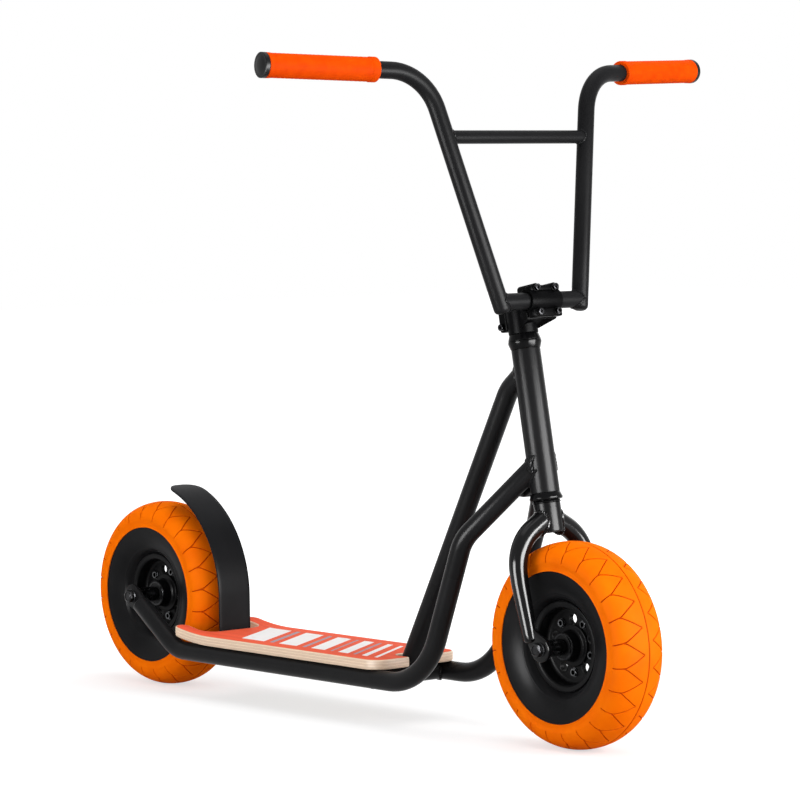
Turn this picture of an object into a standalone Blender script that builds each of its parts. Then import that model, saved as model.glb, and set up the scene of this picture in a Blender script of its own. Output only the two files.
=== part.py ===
import bpy
import bmesh
from math import atan2, ceil, cos, pi, radians, sin, sqrt, tan
from mathutils import Matrix, Vector

# Big-wheel kick scooter. +X is forward, +Y is the rider's left and +Z is up.
# The origin is on the ground, half way between the axles. All sizes are in metres.

SEAT_GAP = 0.0003        # between pieces that touch or run on each other
SIDES = (("right", -1), ("left", 1))
CUT_PAST = 0.01          # how far a cutting tool runs past the piece it cuts
SHARP_ANGLE = radians(35)

# Flat sides of the round pieces
TYRE_SIDES = 32
TREAD_STEPS = 5
SIDEWALL_STEPS = 3
RIM_SIDES = 24
STEM_SIDES = 24
HEAD_TUBE_SIDES = 28
COPE_SIDES = 48
PLATE_SIDES = 20
TUBE_SIDES = 20
TUBE_BEVEL = 4           # the curve bevel's resolution, for 12 sides
RING_SIDES = 20
HUB_SIDES = 18
AXLE_SIDES = 16
BEARING_SIDES = 14
SCREW_SIDES = 12
HOLE_SIDES = 10
BOLT_SIDES = 8

# Wheels and tyres
WHEELBASE = 0.867
TYRE_RADIUS = 0.134
TYRE_HALF_WIDTH = 0.040
TYRE_WIDEST_RADIUS = 0.108
TYRE_CROWN_FULLNESS = 0.95      # 1 is an ellipse, less is squarer
TREAD_THICKNESS = 0.0085
SIDEWALL_THICKNESS = 0.0055
BEAD_THICKNESS = 0.006
RIM_SEAT_RADIUS = 0.0525
RIM_FLANGE_HEIGHT = 0.006
RIM_HALF_WIDTH = 0.0225
RIM_SHEET = 0.0028
RIM_FOLD = 0.0056
RIM_BOLT_COUNT = 5
RIM_BOLT_CIRCLE = 0.0345
RIM_BOLT_RADIUS = 0.003
RIM_BOLT_HEAD_RADIUS = 0.0056
RIM_BOLT_HEAD_HEIGHT = 0.004
RIM_BOLT_TAIL = 0.003
RIM_HOLE_RADIUS = 0.0067
HUB_RADIUS = 0.019
HUB_HALF_LENGTH = 0.024
HUB_WALL = 0.0012
HUB_SHOULDER = 0.004
HUB_FLANGE_RADIUS = 0.0275
HUB_FLANGE_THICKNESS = 0.004
BEARING_WIDTH = 0.011
BEARING_FACE_RECESS = 0.0005
AXLE_RADIUS = 0.006
AXLE_SPACER_RADIUS = 0.0108
AXLE_NUT_RADIUS = 0.0098
AXLE_NUT_HEIGHT = 0.008
AXLE_TAIL = 0.0035
AXLE_HEAD_RECESS = 0.001
FRONT_BOLT_ANGLE = radians(56)
REAR_BOLT_ANGLE = radians(64)

# Steering column, along an axis that leans back
STEER_TILT = radians(10.5)
FORK_OFFSET = 0.0181
CROWN_CLEARANCE = 0.0656     # from the tyre's top to the head tube's lower end
HEAD_TUBE_LENGTH = 0.1876
HEAD_TUBE_RADIUS = 0.019
HEAD_TUBE_WALL = 0.002
CUP_SKIRT = 0.012
CUP_SKIRT_WALL = 0.0018
LOWER_CUP_RADIUS = 0.0218
LOWER_CUP_HEIGHT = 0.0092
UPPER_CUP_RADIUS = 0.0218
UPPER_CUP_HEIGHT = 0.0105
UPPER_CUP_TAPER = 0.003
CUP_CHAMFER = 0.001
CROWN_RACE_HEIGHT = 0.0035
CROWN_RACE_FLARE = 0.0012
HEADSET_COVER_HEIGHT = 0.0085
HEADSET_COVER_STEP = 0.003
STEERER_RADIUS = 0.0143
STEERER_WALL = 0.0025
STEERER_FOOT_RADIUS = 0.0175
STEERER_FOOT_LENGTH = 0.038
STEERER_TOP_RECESS = 0.002      # below the stem's upper face

# Fork legs
FORK_LEG_RADIUS = 0.0135
FORK_TIP_RADIUS = 0.0095
FORK_TAPER_LENGTH = 0.16        # the legs slim down over this much of their lower end
FORK_TYRE_CLEARANCE = 0.0072
FORK_ROOT_DROP = 0.0155         # where the legs' centre lines meet, under the crown race
FORK_SHOULDER_DROP = 0.034     # shoulder corner below that point
FORK_SHOULDER_SETBACK = 0.004   # behind the steering axis
FORK_SHOULDER_BEND = 0.06
FORK_KNEE_RISE = 0.081          # knee above the axle
FORK_KNEE_SETBACK = 0.0385      # knee behind the axle
FORK_KNEE_BEND = 0.15
FORK_TIP_RISE = 0.007
FORK_TIP_SETBACK = 0.0175
DROPOUT_THICKNESS = 0.006
DROPOUT_RADIUS = 0.0165
DROPOUT_ROOT_INSET = 0.0005     # the plate's root is this much slimmer than its tube
FORK_PLATE_BACK = 0.003         # plate's root, from the leg's end
FORK_PLATE_RISE = 0.012
RAIL_ROOT_INSET = 0.0035
RAIL_PLATE_AHEAD = 0.018        # plate's root, from the rail's end
RAIL_PLATE_DROP = 0.0125

# Stem and handlebar
BAR_RADIUS = 0.0111
STEM_REACH = 0.0398
STEM_CLAMP_LENGTH = 0.0485
STEM_CLAMP_RADIUS = 0.0195
STEM_BAR_RISE = 0.0373          # handlebar clamp above the stem's lower face
STEM_HALF_WIDTH = 0.022
STEM_NECK_HALF_WIDTH = 0.0135
STEM_NECK_INSET = 0.0035        # below the clamp's top and above its foot
STEM_GUSSET_DROP = 0.0045       # gusset's front edge, under the handlebar's seat
STEM_WALL = 0.0042
STEM_EAR_LENGTH = 0.029
STEM_EAR_HALF_WIDTH = 0.0145
STEM_EAR_INSET = 0.006
STEM_SLIT = 0.0022
PINCH_BOLT_RADIUS = 0.0026
PINCH_HEAD_RADIUS = 0.0044
PINCH_HEAD_HEIGHT = 0.0045
PINCH_BOLT_TAIL = 0.001
PINCH_BOLT_SETBACK = 0.0225
PINCH_BOLT_SPACING = 0.023
FACE_SPLIT = 0.0016
FACE_BOLT_HALF_WIDTH = 0.0142
FACE_BOLT_HALF_HEIGHT = 0.0158
FACE_BOLT_RADIUS = 0.0025
FACE_HEAD_RADIUS = 0.0042
FACE_HEAD_HEIGHT = 0.004
FACE_BOSS_RADIUS = 0.0052
FACE_BOSS_DEPTH = 0.0115
FACE_BOSS_ROOT = 0.019          # how far the bosses run back over the stem
FACE_THREAD_DEPTH = 0.015
TOP_CAP_RADIUS = 0.0175
TOP_CAP_THICKNESS = 0.0035
TOP_CAP_CHAMFER = 0.001
BAR_RISE = 0.2994
BAR_CLAMP_HALF = 0.0702
BAR_BEND_HALF = 0.1425
BAR_BEND_RADIUS = 0.068
BAR_END_HALF = 0.3745
BAR_BACKSWEEP = radians(9.2)
BAR_UPSWEEP = radians(3.5)
BAR_LEG_SETBACK = 0.0024
BAR_LEG_TAIL = 0.0145
CROSSBAR_RISE = 0.2147
CROSSBAR_RADIUS = 0.0087
GRIP_RADIUS = 0.0162
GRIP_LENGTH = 0.1655
GRIP_LIP = 0.0012
PLUG_RADIUS = 0.0163
PLUG_DOME = 0.0042
PLUG_SHOULDER = 0.0013
PLUG_CROWN_RADIUS = 0.0098
PLUG_CROWN_DROP = 0.0008
PLUG_STEM_RADIUS = 0.0088
PLUG_STEM_LENGTH = 0.022

# Frame tubes
RAIL_RADIUS = 0.0132
RAIL_TYRE_CLEARANCE = 0.0105
RAIL_HEAD_RISE = 0.037          # where the rails meet the head tube's axis
RAIL_HEAD_HALF = 0.0095
RAIL_HIP_SETBACK = 0.1435      # first bend, behind the front axle
RAIL_HIP_HEIGHT = 0.265
RAIL_HIP_BEND = 0.06
RAIL_TOE_SETBACK = 0.2235       # lower bend, behind the front axle
RAIL_TOE_BEND = 0.105
RAIL_HEEL_AHEAD = 0.103         # rear bend, ahead of the rear axle
RAIL_HEEL_BEND = 0.06
RAIL_END_AHEAD = 0.017
RAIL_END_DROP = 0.0095
TOP_TUBE_RADIUS = 0.0134
TOP_TUBE_HEAD_RISE = 0.1635     # above the head tube's lower end
TOP_TUBE_BEND_BEHIND = 0.1215   # behind the front axle
TOP_TUBE_BEND_HEIGHT = 0.4575
TOP_TUBE_BEND = 0.05
CROSS_TUBE_SETBACK = 0.3345     # behind the front axle
CROSS_TUBE_RADIUS = 0.0127
BRAKE_TUBE_RADIUS = 0.011

# Deck
DECK_UNDERSIDE = 0.0782
DECK_THICKNESS = 0.0135
DECK_HALF_WIDTH = 0.0757
DECK_FRONT_SETBACK = 0.308      # behind the front axle
DECK_FRONT_CORNER = 0.026
DECK_TAIL_AHEAD = 0.108         # ahead of the rear axle
DECK_TAIL_CORNER = 0.012
DECK_KICK_START = 0.085         # length of the upturned tail
DECK_KICK_RISE = 0.0095
DECK_KICK_STRIPS = 5
WHEEL_NOTCH_CLEARANCE = 0.0262
WHEEL_NOTCH_SIDE = 0.0105
WHEEL_NOTCH_CORNER = 0.022
TUBE_NOTCH_CLEARANCE = 0.0022
DECK_SCREW_RADIUS = 0.003
DECK_SCREW_HEAD_RADIUS = 0.005
DECK_SCREW_HEAD_HEIGHT = 0.003
DECK_SCREW_SINK = 0.0015        # of the head's face, above the rail's lowest line
DECK_SCREW_BITE = 0.009
DECK_SCREW_FRONT = 0.052        # from the deck's front edge
DECK_SCREW_REAR = 0.130         # from the deck's tail

# Foot brake
BRAKE_HALF_WIDTH = 0.0275
BRAKE_THICKNESS = 0.0025
BRAKE_TYRE_GAP = 0.0228
BRAKE_ARC = radians(78.5)
BRAKE_ARC_RISE = 0.004          # of the curl's centre, above the axle
BRAKE_HINGE_RISE = 0.006        # above the deck's underside
BRAKE_FOOT_DROP = 0.013         # of the strip's foot, below the rails' centre line
BRAKE_TIP_FULLNESS = 0.04       # how blunt the rounded tip is
BRAKE_STRIPS = 16

REAR_X = -WHEELBASE / 2
FRONT_X = WHEELBASE / 2
AXLE_Z = TYRE_RADIUS
RAIL_Y = TYRE_HALF_WIDTH + RAIL_TYRE_CLEARANCE + RAIL_RADIUS
RAIL_Z = DECK_UNDERSIDE - SEAT_GAP - RAIL_RADIUS
FORK_Y = TYRE_HALF_WIDTH + FORK_TYRE_CLEARANCE + FORK_LEG_RADIUS
DECK_FRONT = FRONT_X - DECK_FRONT_SETBACK
DECK_TAIL = REAR_X + DECK_TAIL_AHEAD
CROSS_X = FRONT_X - CROSS_TUBE_SETBACK
BRAKE_RADIUS = TYRE_RADIUS + BRAKE_TYRE_GAP + BRAKE_THICKNESS / 2
BRAKE_X = REAR_X + BRAKE_RADIUS
BRAKE_HINGE_Z = DECK_UNDERSIDE + BRAKE_HINGE_RISE
NOTCH_FRONT = REAR_X + TYRE_RADIUS + WHEEL_NOTCH_CLEARANCE

# Heights along the steering axis, from the head tube's lower end
LOWER_CUP_FOOT = -SEAT_GAP - LOWER_CUP_HEIGHT
CROWN_RACE_FOOT = LOWER_CUP_FOOT - SEAT_GAP - CROWN_RACE_HEIGHT
STEERER_FOOT_TOP = CROWN_RACE_FOOT - SEAT_GAP
STEERER_FOOT_END = STEERER_FOOT_TOP - STEERER_FOOT_LENGTH
UPPER_CUP_TOP = HEAD_TUBE_LENGTH + SEAT_GAP + UPPER_CUP_HEIGHT
COVER_TOP = UPPER_CUP_TOP + SEAT_GAP + HEADSET_COVER_HEIGHT
STEM_FOOT = COVER_TOP + SEAT_GAP
STEM_TOP = STEM_FOOT + STEM_CLAMP_LENGTH
BAR_W = STEM_FOOT + STEM_BAR_RISE

STEER_DIRECTION = Vector((-sin(STEER_TILT), 0, cos(STEER_TILT)))
STEER_FORWARD = Vector((cos(STEER_TILT), 0, sin(STEER_TILT)))
FRONT_AXLE = Vector((FRONT_X, 0, AXLE_Z))
HEAD_BASE = (FRONT_AXLE - STEER_FORWARD * FORK_OFFSET
             + STEER_DIRECTION * (TYRE_RADIUS + CROWN_CLEARANCE))
STEER_TURN = (0, -STEER_TILT, 0)
STEER_MATRIX = Matrix.Translation(HEAD_BASE) @ Matrix.Rotation(-STEER_TILT, 4, "Y")
WHEEL_TURN = (-pi / 2, 0, 0)     # a wheel's own Z points to the rider's left


def material(name, colour, roughness, metallic):
    made = bpy.data.materials.new(name)
    made.use_nodes = True
    shader = made.node_tree.nodes["Principled BSDF"]
    shader.inputs["Base Color"].default_value = (*colour, 1)
    shader.inputs["Roughness"].default_value = roughness
    shader.inputs["Metallic"].default_value = metallic
    return made


def empty(name, place, turn=(0, 0, 0), parent=None):
    made = bpy.data.objects.new(name, None)
    made.location = place
    made.rotation_euler = turn
    made.parent = parent
    bpy.context.collection.objects.link(made)
    return made


def mesh_object(name, bm, mat, parent=None):
    mesh = bpy.data.meshes.new(name)
    bmesh.ops.remove_doubles(bm, verts=bm.verts, dist=1e-6)
    bmesh.ops.recalc_face_normals(bm, faces=bm.faces)
    bm.to_mesh(mesh)
    bm.free()
    made = bpy.data.objects.new(name, mesh)
    made.parent = parent
    bpy.context.collection.objects.link(made)
    if mat:
        mesh.materials.append(mat)
        mesh.shade_smooth()
        mesh.set_sharp_from_angle(angle=SHARP_ANGLE)
    else:
        made.hide_render = True
        made.display_type = "WIRE"
    return made


def turned(name, profile, segments, mat, parent=None):
    """A ring or a shaft, turned round Z from a closed or axis-to-axis profile of (radius, height)."""
    bm = bmesh.new()
    verts = [bm.verts.new((radius, 0, height)) for radius, height in profile]
    edges = [bm.edges.new(pair) for pair in zip(verts, verts[1:])]
    if profile[0][0] > 0:
        edges.append(bm.edges.new((verts[-1], verts[0])))
    bmesh.ops.spin(bm, geom=verts + edges, cent=(0, 0, 0), axis=(0, 0, 1),
                   angle=2 * pi, steps=segments, use_merge=True)
    return mesh_object(name, bm, mat, parent)


def add_prism(bm, radius, start, end, segments, turn=0):
    """A cylinder or a hexagonal prism between two points."""
    start, end = Vector(start), Vector(end)
    along = end - start
    place = (Matrix.Translation((start + end) / 2)
             @ along.to_track_quat("Z", "Y").to_matrix().to_4x4() @ Matrix.Rotation(turn, 4, "Z"))
    bmesh.ops.create_cone(bm, cap_ends=True, segments=segments, radius1=radius, radius2=radius,
                          depth=along.length, matrix=place)


def prism(name, radius, start, end, segments, mat, parent=None, turn=0):
    bm = bmesh.new()
    add_prism(bm, radius, start, end, segments, turn)
    return mesh_object(name, bm, mat, parent)


def block(name, low, high, mat, parent=None):
    low, high = Vector(low), Vector(high)
    bm = bmesh.new()
    size = Matrix.Diagonal((*(high - low), 1))
    bmesh.ops.create_cube(bm, size=1, matrix=Matrix.Translation((low + high) / 2) @ size)
    return mesh_object(name, bm, mat, parent)


def extruded(name, outline, sweep, mat, parent=None):
    """A flat outline pushed along a direction."""
    bm = bmesh.new()
    face = bm.faces.new([bm.verts.new(point) for point in outline])
    pushed = bmesh.ops.extrude_face_region(bm, geom=[face])["geom"]
    moved = [item for item in pushed if isinstance(item, bmesh.types.BMVert)]
    bmesh.ops.translate(bm, verts=moved, vec=sweep)
    return mesh_object(name, bm, mat, parent)


def hull(name, points, mat, parent=None):
    bm = bmesh.new()
    for point in points:
        bm.verts.new(point)
    swept = bmesh.ops.convex_hull(bm, input=bm.verts)
    inside = [item for item in swept["geom_interior"] if isinstance(item, bmesh.types.BMVert)]
    bmesh.ops.delete(bm, geom=inside, context="VERTS")
    bmesh.ops.dissolve_limit(bm, angle_limit=0.01, verts=bm.verts, edges=bm.edges)
    return mesh_object(name, bm, mat, parent)


def plate(name, circles, y_low, y_high, mat, parent=None):
    """A flat plate round a few circles (x, z, radius), square to Y."""
    turns = [step * 2 * pi / PLATE_SIDES for step in range(PLATE_SIDES)]
    points = [(x + radius * cos(turn), y, z + radius * sin(turn))
              for x, z, radius in circles for turn in turns for y in (y_low, y_high)]
    return hull(name, points, mat, parent)


def rounded_path(corners, bends, arc_step=radians(13)):
    """Points along straight runs between corners, with a bend radius at each inner corner."""
    corners = [Vector(corner) for corner in corners]
    points = [corners[0]]
    for before, corner, after, bend in zip(corners, corners[1:], corners[2:], bends):
        arrive = (corner - before).normalized()
        leave = (after - corner).normalized()
        angle = arrive.angle(leave)
        reach = bend * tan(angle / 2)
        start = corner - arrive * reach
        inward = (leave - arrive * arrive.dot(leave)).normalized()
        centre = start + inward * bend
        steps = max(2, ceil(angle / arc_step))
        for step in range(steps + 1):
            turn = angle * step / steps
            points.append(centre + bend * (arrive * sin(turn) - inward * cos(turn)))
    points.append(corners[-1])
    return points


def tube(name, path, radius, mat, parent=None, slimming=None):
    """A solid bar of round section along a path; slimming is the tip's radius and the taper's length."""
    curve = bpy.data.curves.new(name, "CURVE")
    curve.dimensions = "3D"
    curve.bevel_depth = radius
    curve.bevel_resolution = TUBE_BEVEL
    curve.use_fill_caps = True
    spline = curve.splines.new("POLY")
    spline.points.add(len(path) - 1)
    for point, place in zip(spline.points, path):
        point.co = (*place, 1)
        if slimming:
            tip_radius, length = slimming
            share = min(1, (place - path[-1]).length / length)
            point.radius = (tip_radius + (radius - tip_radius) * share) / radius
    guide = bpy.data.objects.new(name + "_path", curve)
    bpy.context.collection.objects.link(guide)
    swept = bpy.data.meshes.new_from_object(guide.evaluated_get(bpy.context.evaluated_depsgraph_get()))
    bpy.data.objects.remove(guide)
    bm = bmesh.new()
    bm.from_mesh(swept)
    return mesh_object(name, bm, mat, parent)


def boolean(target, tool, operation):
    tool.hide_render = True
    tool.display_type = "WIRE"
    modifier = target.modifiers.new(tool.name, "BOOLEAN")
    modifier.operation = operation
    modifier.object = tool


def cut(target, *tools):
    for tool in tools:
        boolean(target, tool, "DIFFERENCE")


def weld(target, *tools):
    for tool in tools:
        boolean(target, tool, "UNION")


def rim_angles(first):
    return [first + 2 * pi * index / RIM_BOLT_COUNT for index in range(RIM_BOLT_COUNT)]


def on_rim(angle, height):
    """A point on the bolt circle; angles run from forward to up."""
    return Vector((RIM_BOLT_CIRCLE * cos(angle), -RIM_BOLT_CIRCLE * sin(angle), height))


def tyre_profile():
    crown = TYRE_RADIUS - TYRE_WIDEST_RADIUS
    bead_face = RIM_HALF_WIDTH - RIM_SHEET - SEAT_GAP
    bead_radius = RIM_SEAT_RADIUS + SEAT_GAP
    lip = RIM_SEAT_RADIUS + RIM_FLANGE_HEIGHT + SEAT_GAP
    turns = [step * pi / 2 / TREAD_STEPS for step in range(TREAD_STEPS)]
    tread = [(TYRE_WIDEST_RADIUS + crown * cos(turn) ** TYRE_CROWN_FULLNESS,
              TYRE_HALF_WIDTH * sin(turn) ** TYRE_CROWN_FULLNESS) for turn in turns]
    sidewall = []
    for step in range(SIDEWALL_STEPS + 1):
        share = sin(step * pi / 2 / SIDEWALL_STEPS)
        drop = share * (TYRE_WIDEST_RADIUS - lip - RIM_SHEET)
        bulge = TYRE_HALF_WIDTH - RIM_HALF_WIDTH
        sidewall.append((TYRE_WIDEST_RADIUS - drop,
                         RIM_HALF_WIDTH + bulge * sqrt(1 - share ** 2)))
    outer = tread + sidewall + [(lip, bead_face), (bead_radius, bead_face)]
    inner = [(bead_radius, bead_face - BEAD_THICKNESS),
             (lip + SIDEWALL_THICKNESS, RIM_HALF_WIDTH - SIDEWALL_THICKNESS),
             (TYRE_WIDEST_RADIUS - SIDEWALL_THICKNESS, TYRE_HALF_WIDTH - SIDEWALL_THICKNESS),
             (TYRE_WIDEST_RADIUS + crown / 2, TYRE_HALF_WIDTH - TREAD_THICKNESS - SIDEWALL_THICKNESS)]
    inner.append((TYRE_RADIUS - TREAD_THICKNESS, 0))
    half = outer + inner
    other = [(radius, -height) for radius, height in reversed(half) if height > 0]
    return half + other


def rim_profile(side):
    web = SEAT_GAP / 2
    bore = HUB_RADIUS + SEAT_GAP
    seat = RIM_SEAT_RADIUS
    flange = seat + RIM_FLANGE_HEIGHT
    slant = RIM_SHEET * (sqrt(2) - 1)
    outline = [(bore, web), (seat - RIM_FOLD, web), (seat, web + RIM_FOLD),
               (seat, RIM_HALF_WIDTH - RIM_SHEET), (flange, RIM_HALF_WIDTH - RIM_SHEET),
               (flange, RIM_HALF_WIDTH), (seat - RIM_SHEET / 2, RIM_HALF_WIDTH),
               (seat - RIM_SHEET, RIM_HALF_WIDTH - RIM_SHEET / 2),
               (seat - RIM_SHEET, web + RIM_FOLD + slant),
               (seat - RIM_FOLD - slant, web + RIM_SHEET), (bore, web + RIM_SHEET)]
    return [(radius, side * height) for radius, height in outline]


def make_wheel(prefix, axis, first_bolt, finish):
    turned(prefix + "_tyre", tyre_profile(), TYRE_SIDES, finish["tyre"], axis)
    for label, side in SIDES:
        half = turned(f"{prefix}_rim_half_{label}", rim_profile(side), RIM_SIDES, finish["rim"], axis)
        bm = bmesh.new()
        for angle in rim_angles(first_bolt):
            add_prism(bm, RIM_BOLT_RADIUS + SEAT_GAP, on_rim(angle, -RIM_HALF_WIDTH / 2),
                      on_rim(angle, RIM_HALF_WIDTH / 2), BOLT_SIDES)
            between = angle + pi / RIM_BOLT_COUNT
            add_prism(bm, RIM_HOLE_RADIUS, on_rim(between, -RIM_HALF_WIDTH / 2),
                      on_rim(between, RIM_HALF_WIDTH / 2), HOLE_SIDES)
        cut(half, mesh_object(f"{prefix}_rim_holes_{label}", bm, None, axis))
    web = SEAT_GAP / 2 + RIM_SHEET
    head_foot = -web - SEAT_GAP
    for index, angle in enumerate(rim_angles(first_bolt)):
        bolt = prism(f"{prefix}_rim_bolt_{index + 1}", RIM_BOLT_HEAD_RADIUS,
                     on_rim(angle, head_foot - RIM_BOLT_HEAD_HEIGHT), on_rim(angle, head_foot),
                     6, finish["chrome"], axis, angle)
        shank = prism(f"{prefix}_rim_shank_{index + 1}", RIM_BOLT_RADIUS,
                      on_rim(angle, head_foot - RIM_BOLT_HEAD_HEIGHT / 2),
                      on_rim(angle, web + RIM_BOLT_TAIL), BOLT_SIDES, None, axis)
        weld(bolt, shank)
    pocket = HUB_RADIUS - HUB_WALL
    bore = pocket - HUB_SHOULDER
    shoulder = HUB_HALF_LENGTH - BEARING_WIDTH - SEAT_GAP
    hub = [(HUB_RADIUS, HUB_HALF_LENGTH), (pocket, HUB_HALF_LENGTH), (pocket, shoulder),
           (bore, shoulder), (bore, -shoulder), (pocket, -shoulder),
           (pocket, -HUB_HALF_LENGTH), (HUB_RADIUS, -HUB_HALF_LENGTH),
           (HUB_RADIUS, head_foot - HUB_FLANGE_THICKNESS),
           (HUB_FLANGE_RADIUS, head_foot - HUB_FLANGE_THICKNESS), (HUB_FLANGE_RADIUS, head_foot),
           (HUB_RADIUS, head_foot)]
    turned(prefix + "_hub", hub, HUB_SIDES, finish["hub"], axis)
    for label, side in SIDES:
        outer = pocket - SEAT_GAP
        bore = AXLE_RADIUS + SEAT_GAP
        face = HUB_HALF_LENGTH
        recess = face - BEARING_FACE_RECESS
        ring = (outer - bore) / 4
        bearing = [(outer, face - BEARING_WIDTH), (outer, face), (outer - ring, face),
                   (outer - ring, recess), (bore + ring, recess), (bore + ring, face),
                   (bore, face), (bore, face - BEARING_WIDTH)]
        turned(f"{prefix}_bearing_{label}", [(radius, side * height) for radius, height in bearing],
               BEARING_SIDES, finish["steel"], axis)


def make_axle(prefix, axis, support, finish):
    """A through axle with its spacers and head, and the nut on its far end."""
    inner = support - DROPOUT_THICKNESS / 2 - SEAT_GAP
    outer = support + DROPOUT_THICKNESS / 2 + SEAT_GAP
    spacer = HUB_HALF_LENGTH + SEAT_GAP
    end = outer + AXLE_NUT_HEIGHT
    tip = -end + AXLE_HEAD_RECESS
    profile = [(0, tip), (AXLE_RADIUS, tip), (AXLE_RADIUS, -inner),
               (AXLE_SPACER_RADIUS, -inner), (AXLE_SPACER_RADIUS, -spacer),
               (AXLE_RADIUS, -spacer), (AXLE_RADIUS, spacer), (AXLE_SPACER_RADIUS, spacer),
               (AXLE_SPACER_RADIUS, inner), (AXLE_RADIUS, inner),
               (AXLE_RADIUS, end + AXLE_TAIL), (0, end + AXLE_TAIL)]
    axle = turned(prefix + "_axle", profile, AXLE_SIDES, finish["steel"], axis)
    weld(axle, prism(prefix + "_axle_head", AXLE_NUT_RADIUS, (0, 0, -end), (0, 0, -outer), 6, None, axis))
    nut = prism(prefix + "_axle_nut", AXLE_NUT_RADIUS, (0, 0, outer), (0, 0, end), 6, finish["steel"], axis)
    cut(nut, prism(prefix + "_nut_bore", AXLE_RADIUS + SEAT_GAP, (0, 0, inner), (0, 0, end + AXLE_TAIL),
                   AXLE_SIDES, None, axis))


def make_headset(steer, finish):
    skirt = HEAD_TUBE_RADIUS - HEAD_TUBE_WALL - SEAT_GAP
    bore = skirt - CUP_SKIRT_WALL
    lower = [(bore, CUP_SKIRT), (bore, LOWER_CUP_FOOT), (LOWER_CUP_RADIUS - CUP_CHAMFER, LOWER_CUP_FOOT),
             (LOWER_CUP_RADIUS, LOWER_CUP_FOOT + CUP_CHAMFER), (LOWER_CUP_RADIUS, -SEAT_GAP),
             (skirt, -SEAT_GAP), (skirt, CUP_SKIRT)]
    turned("headset_lower_cup", lower, RING_SIDES, finish["headset"], steer)
    foot = HEAD_TUBE_LENGTH + SEAT_GAP
    upper = [(bore, HEAD_TUBE_LENGTH - CUP_SKIRT), (skirt, HEAD_TUBE_LENGTH - CUP_SKIRT),
             (skirt, foot), (HEAD_TUBE_RADIUS, foot), (UPPER_CUP_RADIUS, foot + UPPER_CUP_TAPER),
             (UPPER_CUP_RADIUS, UPPER_CUP_TOP), (bore, UPPER_CUP_TOP)]
    turned("headset_upper_cup", upper, RING_SIDES, finish["headset"], steer)
    race_bore = STEERER_RADIUS + SEAT_GAP
    race = [(race_bore, CROWN_RACE_FOOT), (STEERER_FOOT_RADIUS + CROWN_RACE_FLARE, CROWN_RACE_FOOT),
            (STEERER_FOOT_RADIUS, LOWER_CUP_FOOT - SEAT_GAP), (race_bore, LOWER_CUP_FOOT - SEAT_GAP)]
    turned("crown_race", race, RING_SIDES, finish["headset"], steer)
    cover_foot = UPPER_CUP_TOP + SEAT_GAP
    rim = UPPER_CUP_RADIUS - CUP_CHAMFER
    cover = [(race_bore, cover_foot), (rim, cover_foot), (rim, cover_foot + HEADSET_COVER_STEP),
             (STEM_CLAMP_RADIUS - CUP_CHAMFER, COVER_TOP), (race_bore, COVER_TOP)]
    turned("headset_cover", cover, RING_SIDES, finish["headset"], steer)


def make_fork(steer, finish):
    steerer_end = STEM_TOP - STEERER_TOP_RECESS
    bore = STEERER_RADIUS - STEERER_WALL
    profile = [(bore, steerer_end), (bore, STEERER_FOOT_END), (STEERER_FOOT_RADIUS, STEERER_FOOT_END),
               (STEERER_FOOT_RADIUS, STEERER_FOOT_TOP), (STEERER_RADIUS, STEERER_FOOT_TOP),
               (STEERER_RADIUS, steerer_end)]
    turned("fork_steerer", profile, STEM_SIDES, finish["fork"], steer)
    to_column = STEER_MATRIX.inverted()
    root_w = STEERER_FOOT_TOP - FORK_ROOT_DROP
    for label, side in SIDES:
        y = side * FORK_Y
        corners = [Vector((0, 0, root_w)),
                   Vector((-FORK_SHOULDER_SETBACK, y, root_w - FORK_SHOULDER_DROP)),
                   to_column @ Vector((FRONT_X - FORK_KNEE_SETBACK, y, AXLE_Z + FORK_KNEE_RISE)),
                   to_column @ Vector((FRONT_X - FORK_TIP_SETBACK, y, AXLE_Z + FORK_TIP_RISE))]
        path = rounded_path(corners, (FORK_SHOULDER_BEND, FORK_KNEE_BEND))
        leg = tube("fork_leg_" + label, path, FORK_LEG_RADIUS, finish["fork"], steer,
                   (FORK_TIP_RADIUS, FORK_TAPER_LENGTH))
        cut(leg, prism("leg_cope_" + label, STEERER_FOOT_RADIUS + SEAT_GAP,
                       (0, 0, STEERER_FOOT_END - FORK_LEG_RADIUS), (0, 0, STEERER_FOOT_TOP + CUT_PAST),
                       COPE_SIDES, None, steer))
        root = (FRONT_X - FORK_TIP_SETBACK - FORK_PLATE_BACK, AXLE_Z + FORK_TIP_RISE + FORK_PLATE_RISE)
        weld(leg, plate("fork_dropout_" + label,
                        [(FRONT_X, AXLE_Z, DROPOUT_RADIUS), (*root, FORK_TIP_RADIUS - DROPOUT_ROOT_INSET)],
                        y - DROPOUT_THICKNESS / 2, y + DROPOUT_THICKNESS / 2, None))
        cut(leg, prism("fork_slot_" + label, AXLE_RADIUS + SEAT_GAP, (FRONT_X, y - CUT_PAST, AXLE_Z),
                       (FRONT_X, y + CUT_PAST, AXLE_Z), AXLE_SIDES, None))


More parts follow.
